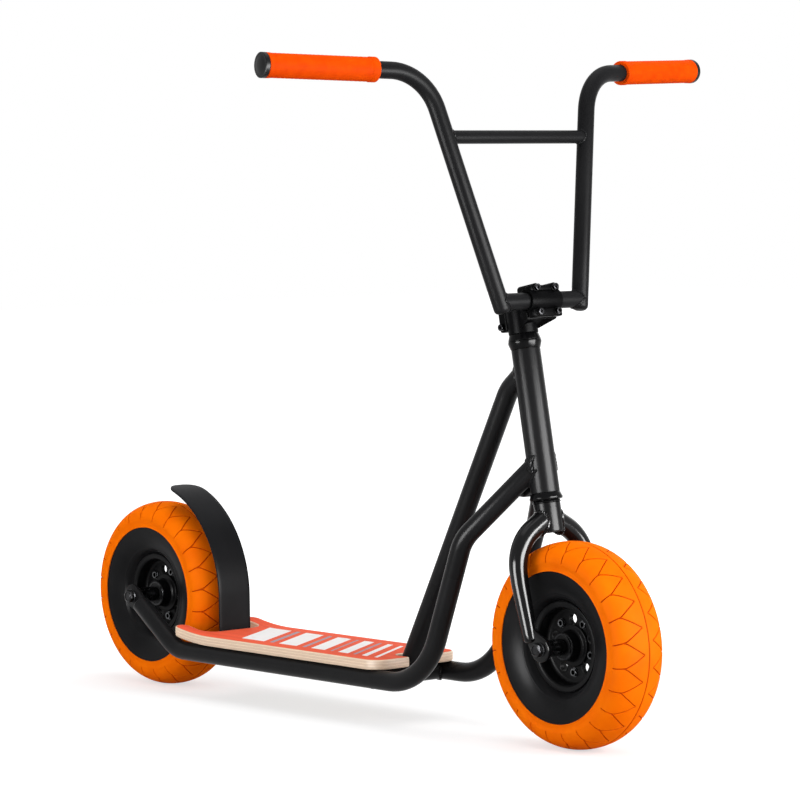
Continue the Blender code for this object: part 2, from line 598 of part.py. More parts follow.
def make_stem(steer, finish):
    bar = Vector((STEM_REACH, 0, BAR_W))
    barrel = BAR_RADIUS + STEM_WALL
    past = STEM_HALF_WIDTH + CUT_PAST
    split = STEM_REACH + FACE_SPLIT / 2
    body = prism("stem_body", STEM_CLAMP_RADIUS, (0, 0, STEM_FOOT), (0, 0, STEM_TOP), STEM_SIDES,
                 finish["stem"], steer)
    neck = [(STEERER_RADIUS, side * STEM_NECK_HALF_WIDTH, w) for _, side in SIDES
            for w in (STEM_FOOT + STEM_NECK_INSET, STEM_TOP - STEM_NECK_INSET)]
    neck += [(STEM_REACH, side * STEM_HALF_WIDTH, BAR_W + rise) for _, side in SIDES
             for rise in (-barrel - STEM_GUSSET_DROP, STEM_TOP - STEM_NECK_INSET - BAR_W)]
    weld(body, hull("stem_neck", neck, None, steer),
         prism("stem_barrel", barrel, bar - Vector((0, STEM_HALF_WIDTH, 0)),
               bar + Vector((0, STEM_HALF_WIDTH, 0)), STEM_SIDES, None, steer),
         block("stem_ears", (-STEM_EAR_LENGTH, -STEM_EAR_HALF_WIDTH, STEM_FOOT + STEM_EAR_INSET),
               (-STEM_CLAMP_RADIUS / 2, STEM_EAR_HALF_WIDTH, STEM_TOP - STEM_EAR_INSET), None, steer))
    bosses = bmesh.new()
    holes = bmesh.new()
    places = [(side * FACE_BOLT_HALF_WIDTH, BAR_W + rise * FACE_BOLT_HALF_HEIGHT)
              for rise in (1, -1) for _, side in SIDES]
    boss_end = split + FACE_BOSS_DEPTH
    for y, w in places:
        add_prism(bosses, FACE_BOSS_RADIUS, (STEM_REACH - FACE_BOSS_ROOT, y, w), (split, y, w), HOLE_SIDES)
        add_prism(holes, FACE_BOLT_RADIUS + SEAT_GAP, (STEM_REACH - FACE_THREAD_DEPTH - SEAT_GAP, y, w),
                  (boss_end + CUT_PAST, y, w), BOLT_SIDES)
    weld(body, mesh_object("stem_bosses", bosses, None, steer))
    bolt_holes = mesh_object("face_bolt_holes", holes, None, steer)
    front = block("stem_split", (STEM_REACH - FACE_SPLIT / 2, -past, BAR_W - past),
                  (boss_end + CUT_PAST, past, BAR_W + past), None, steer)
    bar_bore = prism("bar_bore", BAR_RADIUS + SEAT_GAP, bar - Vector((0, past, 0)),
                     bar + Vector((0, past, 0)), TUBE_SIDES, None, steer)
    cut(body, front, bar_bore, bolt_holes,
        prism("stem_bore", STEERER_RADIUS + SEAT_GAP, (0, 0, STEM_FOOT - CUT_PAST),
              (0, 0, STEM_TOP + CUT_PAST), TUBE_SIDES, None, steer),
        block("stem_slit", (-STEM_EAR_LENGTH - CUT_PAST, -STEM_SLIT / 2, STEM_FOOT - CUT_PAST),
              (-STEERER_RADIUS / 2, STEM_SLIT / 2, STEM_TOP + CUT_PAST), None, steer))

    face = prism("stem_faceplate", barrel, bar - Vector((0, STEM_HALF_WIDTH, 0)),
                 bar + Vector((0, STEM_HALF_WIDTH, 0)), STEM_SIDES, finish["stem"], steer)
    bosses = bmesh.new()
    for y, w in places:
        add_prism(bosses, FACE_BOSS_RADIUS, (STEM_REACH, y, w), (boss_end, y, w), HOLE_SIDES)
    weld(face, mesh_object("face_bosses", bosses, None, steer))
    cut(face, block("face_split", (STEM_REACH - past, -past, BAR_W - past), (split, past, BAR_W + past),
                    None, steer), bar_bore, bolt_holes)
    for index, (y, w) in enumerate(places):
        head = boss_end + SEAT_GAP
        bolt = prism(f"faceplate_bolt_{index + 1}", FACE_HEAD_RADIUS, (head, y, w),
                     (head + FACE_HEAD_HEIGHT, y, w), SCREW_SIDES, finish["steel"], steer)
        weld(bolt, prism(f"face_shank_{index + 1}", FACE_BOLT_RADIUS,
                         (STEM_REACH - FACE_THREAD_DEPTH, y, w), (head + FACE_HEAD_HEIGHT / 2, y, w),
                         BOLT_SIDES, None, steer))

    middle = (STEM_FOOT + STEM_TOP) / 2
    seat = STEM_EAR_HALF_WIDTH + SEAT_GAP
    u = -PINCH_BOLT_SETBACK
    for index, rise in enumerate((1, -1)):
        w = middle + rise * PINCH_BOLT_SPACING / 2
        cut(body, prism(f"pinch_hole_{index + 1}", PINCH_BOLT_RADIUS + SEAT_GAP,
                        (u, -past, w), (u, past, w), BOLT_SIDES, None, steer))
        bolt = prism(f"pinch_bolt_{index + 1}", PINCH_HEAD_RADIUS, (u, -seat - PINCH_HEAD_HEIGHT, w),
                     (u, -seat, w), SCREW_SIDES, finish["steel"], steer)
        weld(bolt, prism(f"pinch_shank_{index + 1}", PINCH_BOLT_RADIUS,
                         (u, -seat - PINCH_HEAD_HEIGHT / 2, w),
                         (u, STEM_EAR_HALF_WIDTH + PINCH_BOLT_TAIL, w), BOLT_SIDES, None, steer))

    cap_foot = STEM_TOP + SEAT_GAP
    cap_top = cap_foot + TOP_CAP_THICKNESS
    stub = STEERER_RADIUS - STEERER_WALL - SEAT_GAP
    cap = [(0, cap_top), (TOP_CAP_RADIUS - TOP_CAP_CHAMFER, cap_top),
           (TOP_CAP_RADIUS, cap_top - TOP_CAP_CHAMFER), (TOP_CAP_RADIUS, cap_foot),
           (stub, cap_foot), (stub, STEM_FOOT), (0, STEM_FOOT)]
    turned("stem_top_cap", cap, RING_SIDES, finish["headset"], steer)


def bar_point(y_out, side):
    """A point on the hand section's centre line, in the column's own axes."""
    out = y_out - BAR_BEND_HALF
    return Vector((STEM_REACH - BAR_LEG_SETBACK - out * tan(BAR_BACKSWEEP), side * y_out,
                   BAR_W + BAR_RISE + out * tan(BAR_UPSWEEP)))


def leg_point(rise):
    """A point on the left upright's centre line, rise above the clamp tube."""
    share = rise / BAR_RISE
    return Vector((STEM_REACH - BAR_LEG_SETBACK * share,
                   BAR_CLAMP_HALF + (BAR_BEND_HALF - BAR_CLAMP_HALF) * share, BAR_W + rise))


def make_handlebar(steer, finish):
    bar = tube("handlebar", [(STEM_REACH, -BAR_CLAMP_HALF, BAR_W), (STEM_REACH, BAR_CLAMP_HALF, BAR_W)],
               BAR_RADIUS, finish["bar"], steer)
    for label, side in SIDES:
        mirror = Vector((1, side, 1))
        corners = [leg_point(-BAR_LEG_TAIL) * mirror, leg_point(BAR_RISE) * mirror,
                   bar_point(BAR_END_HALF, side)]
        weld(bar, tube("bar_upright_" + label, rounded_path(corners, (BAR_BEND_RADIUS,)), BAR_RADIUS,
                       None, steer))
    brace = leg_point(CROSSBAR_RISE)
    weld(bar, tube("bar_brace", [brace * Vector((1, -1, 1)), brace], CROSSBAR_RADIUS, None, steer))
    for label, side in SIDES:
        end = bar_point(BAR_END_HALF, side)
        along = (end - bar_point(BAR_BEND_HALF, side)).normalized()
        cut(bar, prism("bar_end_bore_" + label, PLUG_STEM_RADIUS + SEAT_GAP,
                       end - along * (PLUG_STEM_LENGTH + SEAT_GAP), end + along * CUT_PAST, HUB_SIDES,
                       None, steer))
        turn = along.to_track_quat("Z", "Y").to_euler()
        hand = empty("hand_" + label, end, turn, steer)
        bore = BAR_RADIUS + SEAT_GAP
        grip = [(bore, 0), (bore, -GRIP_LENGTH), (GRIP_RADIUS - GRIP_LIP, -GRIP_LENGTH),
                (GRIP_RADIUS, -GRIP_LENGTH + GRIP_LIP), (GRIP_RADIUS, -GRIP_LIP),
                (GRIP_RADIUS - GRIP_LIP, 0)]
        turned("grip_" + label, grip, RING_SIDES, finish["grip"], hand)
        crown = SEAT_GAP + PLUG_DOME
        plug = [(0, crown), (PLUG_CROWN_RADIUS, crown - PLUG_CROWN_DROP),
                (PLUG_RADIUS, SEAT_GAP + PLUG_SHOULDER), (PLUG_RADIUS, SEAT_GAP),
                (PLUG_STEM_RADIUS, SEAT_GAP), (PLUG_STEM_RADIUS, -PLUG_STEM_LENGTH), (0, -PLUG_STEM_LENGTH)]
        turned("bar_end_plug_" + label, plug, HUB_SIDES, finish["plug"], hand)


def make_frame(finish):
    head_top = HEAD_BASE + STEER_DIRECTION * HEAD_TUBE_LENGTH
    bore = HEAD_TUBE_RADIUS - HEAD_TUBE_WALL
    seat = empty("head_tube_seat", HEAD_BASE, STEER_TURN)
    turned("head_tube", [(bore, 0), (HEAD_TUBE_RADIUS, 0), (HEAD_TUBE_RADIUS, HEAD_TUBE_LENGTH),
                         (bore, HEAD_TUBE_LENGTH)], HEAD_TUBE_SIDES, finish["frame"], seat)
    head_cope = prism("head_cope", HEAD_TUBE_RADIUS + SEAT_GAP, HEAD_BASE - STEER_DIRECTION * CUT_PAST,
                      head_top + STEER_DIRECTION * CUT_PAST, COPE_SIDES, None)

    top_corners = [HEAD_BASE + STEER_DIRECTION * TOP_TUBE_HEAD_RISE,
                   (FRONT_X - TOP_TUBE_BEND_BEHIND, 0, TOP_TUBE_BEND_HEIGHT), (CROSS_X, 0, RAIL_Z)]
    top_tube = tube("top_tube", rounded_path(top_corners, (TOP_TUBE_BEND,)), TOP_TUBE_RADIUS,
                    finish["frame"])
    cross_cope = prism("cross_cope", CROSS_TUBE_RADIUS + SEAT_GAP, (CROSS_X, -RAIL_Y / 2, RAIL_Z),
                       (CROSS_X, RAIL_Y / 2, RAIL_Z), COPE_SIDES, None)
    cut(top_tube, head_cope, cross_cope)

    cross = prism("front_cross_tube", CROSS_TUBE_RADIUS, (CROSS_X, -RAIL_Y, RAIL_Z),
                  (CROSS_X, RAIL_Y, RAIL_Z), TUBE_SIDES, finish["frame"])
    tube_x = BRAKE_X + BRAKE_TUBE_RADIUS - BRAKE_THICKNESS / 2
    mount = prism("brake_mount", BRAKE_TUBE_RADIUS, (tube_x, -RAIL_Y, RAIL_Z), (tube_x, RAIL_Y, RAIL_Z),
                  TUBE_SIDES, finish["frame"])
    half_strip = BRAKE_THICKNESS / 2
    weld(mount, block("brake_foot",
                      (BRAKE_X - half_strip, -BRAKE_HALF_WIDTH, RAIL_Z - BRAKE_FOOT_DROP),
                      (BRAKE_X + half_strip, BRAKE_HALF_WIDTH, BRAKE_HINGE_Z - SEAT_GAP / 2), None))

    rails = {}
    for label, side in SIDES:
        y = side * RAIL_Y
        start = HEAD_BASE + STEER_DIRECTION * RAIL_HEAD_RISE
        start.y = side * RAIL_HEAD_HALF
        corners = [start, (FRONT_X - RAIL_HIP_SETBACK, y, RAIL_HIP_HEIGHT),
                   (FRONT_X - RAIL_TOE_SETBACK, y, RAIL_Z), (REAR_X + RAIL_HEEL_AHEAD, y, RAIL_Z),
                   (REAR_X + RAIL_END_AHEAD, y, AXLE_Z - RAIL_END_DROP)]
        path = rounded_path(corners, (RAIL_HIP_BEND, RAIL_TOE_BEND, RAIL_HEEL_BEND))
        rail = tube("rail_" + label, path, RAIL_RADIUS, finish["frame"])
        across = sorted((-side * RAIL_Y, side * SEAT_GAP / 2))
        cut(rail, head_cope,
            block("rail_divide_" + label, (FRONT_X - RAIL_HIP_SETBACK, across[0], RAIL_HIP_HEIGHT),
                  (FRONT_X, across[1], head_top.z), None))
        root = (REAR_X + RAIL_END_AHEAD + RAIL_PLATE_AHEAD, AXLE_Z - RAIL_END_DROP - RAIL_PLATE_DROP)
        weld(rail, plate("rear_dropout_" + label,
                         [(REAR_X, AXLE_Z, DROPOUT_RADIUS), (*root, RAIL_RADIUS - RAIL_ROOT_INSET)],
                         y - DROPOUT_THICKNESS / 2, y + DROPOUT_THICKNESS / 2, None))
        cut(rail, prism("rear_slot_" + label, AXLE_RADIUS + SEAT_GAP, (REAR_X, y - RAIL_RADIUS, AXLE_Z),
                        (REAR_X, y + RAIL_RADIUS, AXLE_Z), AXLE_SIDES, None))
        cope = prism("rail_cope_" + label, RAIL_RADIUS + SEAT_GAP, (REAR_X + RAIL_HEEL_AHEAD, y, RAIL_Z),
                     (FRONT_X - RAIL_TOE_SETBACK, y, RAIL_Z), COPE_SIDES, None)
        cut(cross, cope)
        cut(mount, cope)
        rails[label] = rail
    return rails


def corner_arc(centre_x, centre_y, radius, first, last, steps):
    """Points on a quarter round, angles in degrees from +X to +Y."""
    return [(centre_x + radius * cos(radians(first + (last - first) * step / steps)),
             centre_y + radius * sin(radians(first + (last - first) * step / steps)))
            for step in range(steps + 1)]


def deck_outline():
    half = DECK_HALF_WIDTH
    notch_half = TYRE_HALF_WIDTH + WHEEL_NOTCH_SIDE
    lean = atan2(FRONT_X - TOP_TUBE_BEND_BEHIND - CROSS_X, TOP_TUBE_BEND_HEIGHT - RAIL_Z)
    tube_half = TOP_TUBE_RADIUS + TUBE_NOTCH_CLEARANCE
    tube_rear = (CROSS_X + (DECK_UNDERSIDE - RAIL_Z) * tan(lean)
                 - TOP_TUBE_RADIUS / cos(lean) - TUBE_NOTCH_CLEARANCE)
    right = corner_arc(DECK_FRONT - DECK_FRONT_CORNER, -half + DECK_FRONT_CORNER, DECK_FRONT_CORNER,
                       0, -90, 6)
    right += corner_arc(DECK_TAIL + DECK_TAIL_CORNER, -half + DECK_TAIL_CORNER, DECK_TAIL_CORNER,
                        -90, -180, 4)
    right += corner_arc(DECK_TAIL + DECK_TAIL_CORNER, -notch_half - DECK_TAIL_CORNER, DECK_TAIL_CORNER,
                        180, 90, 4)
    inner = WHEEL_NOTCH_CORNER
    right += [(NOTCH_FRONT - x, y) for x, y in corner_arc(inner, -notch_half + inner, inner, 270, 180, 5)]
    left = [(x, -y) for x, y in reversed(right)]
    slot = corner_arc(tube_rear + tube_half, 0, tube_half, 90, 270, 8)
    return right + left + [(DECK_FRONT, tube_half)] + slot + [(DECK_FRONT, -tube_half)]


def kick(x):
    """How far the upturned tail has risen at x."""
    past = max(0, DECK_TAIL + DECK_KICK_START - x) / DECK_KICK_START
    return DECK_KICK_RISE * past ** 2


def make_deck(rails, finish):
    outline = [(x, y, DECK_UNDERSIDE) for x, y in deck_outline()]
    deck = extruded("deck", outline, (0, 0, DECK_THICKNESS), finish["deck"])
    bm = bmesh.new()
    bm.from_mesh(deck.data)
    for index in range(1, DECK_KICK_STRIPS + 1):
        x = DECK_TAIL + DECK_KICK_START * index / DECK_KICK_STRIPS
        bmesh.ops.bisect_plane(bm, geom=bm.verts[:] + bm.edges[:] + bm.faces[:], plane_co=(x, 0, 0),
                               plane_no=(1, 0, 0), dist=1e-6)
    bmesh.ops.triangulate(bm, faces=bm.faces)
    for vert in bm.verts:
        vert.co.z += kick(vert.co.x)
    bmesh.ops.recalc_face_normals(bm, faces=bm.faces)
    bm.to_mesh(deck.data)
    bm.free()

    head_low = RAIL_Z - RAIL_RADIUS + DECK_SCREW_SINK
    head_top = head_low + DECK_SCREW_HEAD_HEIGHT
    tip = DECK_UNDERSIDE + DECK_SCREW_BITE
    index = 0
    for label, side in SIDES:
        for x in (DECK_FRONT - DECK_SCREW_FRONT, DECK_TAIL + DECK_SCREW_REAR):
            index += 1
            y = side * RAIL_Y
            hole = prism(f"deck_screw_hole_{index}", DECK_SCREW_RADIUS + SEAT_GAP,
                         (x, y, head_low - CUT_PAST), (x, y, tip + SEAT_GAP), SCREW_SIDES, None)
            sink = prism(f"deck_screw_sink_{index}", DECK_SCREW_HEAD_RADIUS + SEAT_GAP,
                         (x, y, head_low - CUT_PAST), (x, y, head_top + SEAT_GAP), SCREW_SIDES, None)
            cut(deck, hole)
            cut(rails[label], hole, sink)
            screw = prism(f"deck_screw_{index}", DECK_SCREW_HEAD_RADIUS, (x, y, head_low), (x, y, head_top),
                          SCREW_SIDES, finish["steel"])
            weld(screw, prism(f"deck_screw_shank_{index}", DECK_SCREW_RADIUS,
                              (x, y, head_top - DECK_SCREW_HEAD_HEIGHT / 2), (x, y, tip), BOLT_SIDES, None))


def make_brake(brake_axis, finish):
    """The spring-steel brake: a flat strip that rises and curls back over the rear tyre."""
    hinge = Vector((BRAKE_X, 0, BRAKE_HINGE_Z))
    curl = Vector((REAR_X, 0, AXLE_Z + BRAKE_ARC_RISE))
    turns = [BRAKE_ARC * step / BRAKE_STRIPS for step in range(BRAKE_STRIPS + 1)]
    stations = [(Vector((BRAKE_X, 0, BRAKE_HINGE_Z + SEAT_GAP / 2)), 0)]
    stations += [(curl + BRAKE_RADIUS * Vector((cos(turn), 0, sin(turn))), turn) for turn in turns]
    tip_start = BRAKE_ARC - BRAKE_HALF_WIDTH / BRAKE_RADIUS
    bm = bmesh.new()
    rows = []
    for place, turn in stations:
        past = max(0, (turn - tip_start) / (BRAKE_ARC - tip_start))
        half = BRAKE_HALF_WIDTH * sqrt(max(BRAKE_TIP_FULLNESS, 1 - past ** 2))
        rows.append([bm.verts.new(place - hinge + Vector((0, y, 0))) for y in (-half, half)])
    for row, after in zip(rows, rows[1:]):
        bm.faces.new((row[0], row[1], after[1], after[0]))
    brake = mesh_object("brake_fender", bm, finish["brake"], brake_axis)
    sheet = brake.modifiers.new("thickness", "SOLIDIFY")
    sheet.thickness = BRAKE_THICKNESS
    sheet.offset = 0
    sheet.use_even_offset = True


def main():
    for stale in list(bpy.data.objects):
        bpy.data.objects.remove(stale)
    satin = (0.018, 0.018, 0.019)
    finish = {
        "frame": material("satin_black_paint", satin, 0.45, 0.0),
        "fork": material("gloss_black_paint", (0.012, 0.012, 0.013), 0.25, 0.0),
        "bar": material("bar_black_paint", satin, 0.4, 0.0),
        "stem": material("anodised_black", (0.015, 0.015, 0.016), 0.35, 0.6),
        "headset": material("headset_black", (0.014, 0.014, 0.015), 0.35, 0.6),
        "rim": material("rim_black_paint", (0.02, 0.02, 0.021), 0.4, 0.3),
        "hub": material("hub_black", (0.02, 0.02, 0.02), 0.4, 0.4),
        "tyre": material("tyre_rubber", (0.9, 0.19, 0.01), 0.6, 0.0),
        "chrome": material("chromed_steel", (0.8, 0.8, 0.82), 0.15, 1.0),
        "steel": material("dark_steel", (0.12, 0.12, 0.125), 0.35, 1.0),
        "grip": material("orange_grip_rubber", (0.95, 0.19, 0.01), 0.6, 0.0),
        "plug": material("plug_plastic", (0.02, 0.02, 0.02), 0.5, 0.0),
        "deck": material("printed_maple", (0.85, 0.14, 0.06), 0.4, 0.0),
        "brake": material("matte_black_steel", (0.02, 0.02, 0.02), 0.6, 0.2),
    }
    steer = empty("steering_axis", HEAD_BASE, STEER_TURN)
    rails = make_frame(finish)
    make_deck(rails, finish)
    make_brake(empty("brake_axis", (BRAKE_X, 0, BRAKE_HINGE_Z)), finish)
    make_headset(steer, finish)
    make_fork(steer, finish)
    make_stem(steer, finish)
    make_handlebar(steer, finish)
    front = empty("front_wheel_axis", FRONT_AXLE, WHEEL_TURN)
    rear = empty("rear_wheel_axis", (REAR_X, 0, AXLE_Z), WHEEL_TURN)
    make_wheel("front", front, FRONT_BOLT_ANGLE, finish)
    make_axle("front", front, FORK_Y, finish)
    make_wheel("rear", rear, REAR_BOLT_ANGLE, finish)
    make_axle("rear", rear, RAIL_Y, finish)


main()
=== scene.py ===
import bpy
import bmesh
import numpy as np
from math import atan2, ceil, cos, pi, radians, sin, sqrt, tan
from mathutils import Matrix, Vector


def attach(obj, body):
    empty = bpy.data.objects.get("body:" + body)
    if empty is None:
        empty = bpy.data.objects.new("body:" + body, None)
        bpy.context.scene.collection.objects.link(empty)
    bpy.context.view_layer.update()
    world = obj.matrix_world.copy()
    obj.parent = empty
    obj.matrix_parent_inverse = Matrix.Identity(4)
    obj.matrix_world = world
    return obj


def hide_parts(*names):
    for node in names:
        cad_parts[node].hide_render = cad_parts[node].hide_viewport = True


# Big-wheel kick scooter with orange tyres. Metres, +X forward, +Y the rider's left, +Z up.
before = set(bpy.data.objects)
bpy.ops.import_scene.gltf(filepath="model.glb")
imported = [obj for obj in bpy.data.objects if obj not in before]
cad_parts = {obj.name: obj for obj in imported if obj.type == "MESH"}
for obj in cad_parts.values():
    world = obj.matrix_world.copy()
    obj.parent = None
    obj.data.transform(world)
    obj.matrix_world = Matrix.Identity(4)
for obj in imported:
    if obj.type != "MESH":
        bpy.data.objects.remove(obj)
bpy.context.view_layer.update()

layout = {
    "frontX": 0.4335, "rearX": -0.4335, "axleHeight": 0.134,
    "headBase": (0.379329, 0, 0.326959), "steerTilt": radians(10.5),
    "forkY": 0.0607, "railY": 0.0637, "railZ": 0.0647, "crossX": 0.099,
}
gap = 0.0003  # between pieces that touch
sides = (("right", -1), ("left", 1))


def placeAt(x, y, z, turn=0, axis="X"):
    return Matrix.Translation((x, y, z)) @ Matrix.Rotation(turn, 4, axis)


columnPlace = placeAt(*layout["headBase"], -layout["steerTilt"], "Y")
# a wheel's own Z points to the rider's left
wheelPlaces = {end: placeAt(layout[end + "X"], 0, layout["axleHeight"], -pi / 2) for end in ("front", "rear")}


# shaping tools

def values(piece, names):
    return [piece[name] for name in names.split()]


def eased(corners, closed=False, step=radians(7)):
    # corners are (point, bend radius); an open path keeps its two end points
    spots = [Vector(spot) for spot, bend in corners]
    last = len(spots) - 1
    points = []
    for i, (spot, (_, bend)) in enumerate(zip(spots, corners)):
        if not bend or (not closed and i in (0, last)):
            points.append(spot)
            continue
        arrive = (spot - spots[i - 1]).normalized()
        leave = (spots[(i + 1) % (last + 1)] - spot).normalized()
        angle = arrive.angle(leave)
        start = spot - arrive * bend * tan(angle / 2)
        inward = (leave - arrive * arrive.dot(leave)).normalized()
        steps = max(2, ceil(angle / step))
        for k in range(steps + 1):
            turn = angle * k / steps
            points.append(start + inward * bend + bend * (arrive * sin(turn) - inward * cos(turn)))
    return points


def contour(*corners, bend=0, closed=False, step=18):
    # a section of (radius, height) corners; a third number is that corner's own bend; step is in degrees
    bends = [corner[2] if len(corner) > 2 else bend for corner in corners]
    return eased([(corner[:2], own) for corner, own in zip(corners, bends)], closed, radians(step))


def tidied(bm):
    bmesh.ops.remove_doubles(bm, verts=bm.verts, dist=1e-6)
    bmesh.ops.recalc_face_normals(bm, faces=bm.faces)
    return bm


def vertsOf(geom):
    return [item for item in geom if isinstance(item, bmesh.types.BMVert)]


def rimsOf(bm, axis=2):
    # the edges that lie square to an axis
    return [edge for edge in bm.edges if abs(edge.verts[0].co[axis] - edge.verts[1].co[axis]) < 1e-7]


def bevelled(bm, edges, offset, segments=3, clamp=True):
    bmesh.ops.bevel(bm, geom=edges, offset=offset, segments=segments, profile=0.5, affect="EDGES",
                    material=-1, clamp_overlap=clamp)
    return tidied(bm)


def creased(bm, angle):
    return [edge for edge in bm.edges
            if len(edge.link_faces) == 2 and edge.calc_face_angle(0) > radians(angle)]


def grownRim(bm, rim):
    # extrudes a row of edges and gives back the new row's vertices and edges
    grown = bmesh.ops.extrude_edge_only(bm, edges=rim)["geom"]
    row = vertsOf(grown)
    moved = set(row)
    return row, [item for item in grown if isinstance(item, bmesh.types.BMEdge) and set(item.verts) <= moved]


def spinRound(bm, geom, angle, steps, **how):
    bmesh.ops.spin(bm, geom=geom, cent=(0, 0, 0), axis=(0, 0, 1), angle=angle, steps=steps, **how)


def spun(profile, steps=64, place=None, angle=2 * pi, start=0):
    # turned about Z from (radius, height) points; a profile that leaves the axis is closed into a ring
    bm = bmesh.new()
    verts = [bm.verts.new((r * cos(start), r * sin(start), h)) for r, h in profile]
    edges = [bm.edges.new(pair) for pair in zip(verts, verts[1:])]
    if profile[0][0] > 1e-9:
        edges.append(bm.edges.new((verts[-1], verts[0])))
    whole = angle > 6.28
    spinRound(bm, verts + edges, angle, steps, use_merge=whole)
    if not whole:
        bmesh.ops.remove_doubles(bm, verts=bm.verts, dist=1e-7)
        bmesh.ops.holes_fill(bm, edges=bm.edges, sides=0)
    if place is not None:
        bm.transform(place)
    return tidied(bm)


def ontoCylinder(spot, way, cylinder):
    # where a ray from spot along way meets a cylinder of (point, axis, radius), or passes it closest
    foot, axis, radius = Vector(cylinder[0]), Vector(cylinder[1]).normalized(), cylinder[2]
    across = way - axis * way.dot(axis)
    offset = (spot - foot) - axis * (spot - foot).dot(axis)
    a, b, c = across.dot(across), 2 * across.dot(offset), offset.dot(offset) - radius ** 2
    reach = (-b - sqrt(abs(b * b - 4 * a * c))) / (2 * a)  # past the edge the cut curls back again
    return spot + way * reach


def sunk(cylinder, depth):
    return (*cylinder[:2], cylinder[2] - depth)


closing = (0.02, 0.36, 0.7)  # shares of the width in the rings that close a coped end
castBack = 0.2  # how far back a ray starts before it is cast onto a cylinder


def swept(path, width, segments=36, closed=False, hint=None, startOn=None, endOn=None):
    # a round section pushed along a path; an end given a cylinder is coped onto it
    path = [Vector(p) for p in path]
    widths = list(width) if hasattr(width, "__len__") else [width] * len(path)
    if startOn:
        path, widths = [path[0]] * 3 + path, [widths[0] * share for share in closing] + widths
    if endOn:
        path, widths = path + [path[-1]] * 3, widths + [widths[-1] * share for share in closing[::-1]]
    places, side, way = [], None, None
    for i, (spot, size) in enumerate(zip(path, widths)):
        before = path[i - 1] if closed or i else spot
        after = path[(i + 1) % len(path)] if closed or i < len(path) - 1 else spot
        if (after - before).length > 1e-7:
            way = (after - before).normalized()
        elif way is None:
            way = (next(p for p in path if (p - spot).length > 1e-7) - spot).normalized()
        guide = hint or side or way.orthogonal()
        side = (guide - way * way.dot(guide)).normalized()
        turn = Matrix((side, way.cross(side), way)).transposed().to_4x4()
        places.append(Matrix.Translation(spot) @ turn @ Matrix.Diagonal((size, size, 1, 1)))
    bm = bmesh.new()
    circle = bmesh.ops.create_circle(bm, cap_ends=False, segments=segments, radius=1, matrix=places[0])
    first = circle["verts"]
    rim = firstRim = list({edge for vert in first for edge in vert.link_edges})
    rings = [first]
    for before, after in zip(places, places[1:]):
        ring, rim = grownRim(bm, rim)
        bmesh.ops.transform(bm, matrix=after @ before.inverted(), verts=ring)
        rings.append(ring)
    if closed:
        bmesh.ops.bridge_loops(bm, edges=firstRim + rim)
    for cylinder, chosen, end, inner in ((startOn, rings[:4], 0, 4), (endOn, rings[-4:], -1, -5)):
        if cylinder:
            towards = (path[end] - path[inner]).normalized()
            for vert in (vert for ring in chosen for vert in ring):
                vert.co = ontoCylinder(vert.co - towards * castBack, towards, cylinder)
    bmesh.ops.holes_fill(bm, edges=bm.edges, sides=0)
    return tidied(bm)


def tubeStations(corners, radius, startEdge=0, endEdge=0, tip=None, taper=0, step=radians(5)):
    # path points and widths of a bent tube, with its end edges rounded over and an optional slimming tip
    points = eased(corners, step=step)
    widths = [radius] * len(points)
    if tip:
        run = [points[-1]]
        for before, after in zip(points[::-1], points[-2::-1]):  # more stations along the slimming end
            parts = max(1, ceil((after - before).length / 0.012))
            run += [before.lerp(after, (k + 1) / parts) for k in range(parts)]
        points = run[::-1]
        left, widths = 0, [tip]
        for before, after in zip(run, run[1:]):
            left += (after - before).length
            widths.append(tip + (radius - tip) * min(1, left / taper))
        widths = widths[::-1]
    for edge, index, inner in ((startEdge, 0, 1), (endEdge, -1, -2)):
        if edge:
            end, size = points[index], widths[index]
            inward = (points[inner] - end).normalized()
            turns = [radians(a) for a in (0, 25, 50, 72, 90)]
            spots = [end + inward * edge * (1 - sin(t)) for t in turns]
            sizes = [size - edge * (1 - cos(t)) for t in turns]
            if index == 0:
                points, widths = spots[::-1] + points[1:], sizes[::-1] + widths[1:]
            else:
                points, widths = points[:-1] + spots, widths[:-1] + sizes
    return points, widths


def weldBead(spot, way, radius, cylinder, size=0.0021, rippleLength=0.0024):
    # a rippled bead where a tube of this radius, running along way from spot, meets a cylinder
    spot, way = Vector(spot), Vector(way).normalized()
    side = way.orthogonal().normalized()
    other = way.cross(side)
    count = max(24, round(2 * pi * radius / (rippleLength / 4)))
    path = []
    for turn in (2 * pi * k / count for k in range(count)):
        start = spot + radius * (side * cos(turn) + other * sin(turn)) - way * castBack
        path.append(ontoCylinder(start, way, cylinder))
    ripples = [size * (0.86 + 0.22 * ((k % 4) / 3)) for k in range(count)]
    return swept(path, ripples, 8, closed=True, hint=way)


def weldedTube(corners, radius, wall, sink, bead=0.0021, **ends):
    # a bent tube coped onto a cylinder at its start, with the bead round that joint
    path, widths = tubeStations(corners, radius, **ends)
    tube = swept(path, widths, 40, startOn=sunk(wall, sink))
    return [tube, weldBead(path[1], path[0] - path[1], radius, wall, bead)]


def bridged(ends, radius, walls, shares, sink, bead):
    # a tube from the right wall to the left one with its two weld beads; a wall is a cylinder
    stops = [ends[0].lerp(ends[1], share) for share in shares]
    parts = [swept(stops, radius, startOn=sunk(walls[0], sink), endOn=sunk(walls[1], sink))]
    return parts + [weldBead(stops[2], (0, side, 0), radius, wall, bead)
                    for side, wall in zip((-1, 1), walls)]


def rod(radius, length, segments, place):
    bm = bmesh.new()
    bmesh.ops.create_cone(bm, cap_ends=True, segments=segments, radius1=radius, radius2=radius, depth=length,
                          matrix=place)
    return bm


def hexPrism(radius, low, high, bevel=0.0005, turn=0):
    bm = rod(radius, high - low, 6, placeAt(0, 0, (low + high) / 2, turn, "Z"))
    return bevelled(bm, rimsOf(bm), bevel, 2, clamp=False)


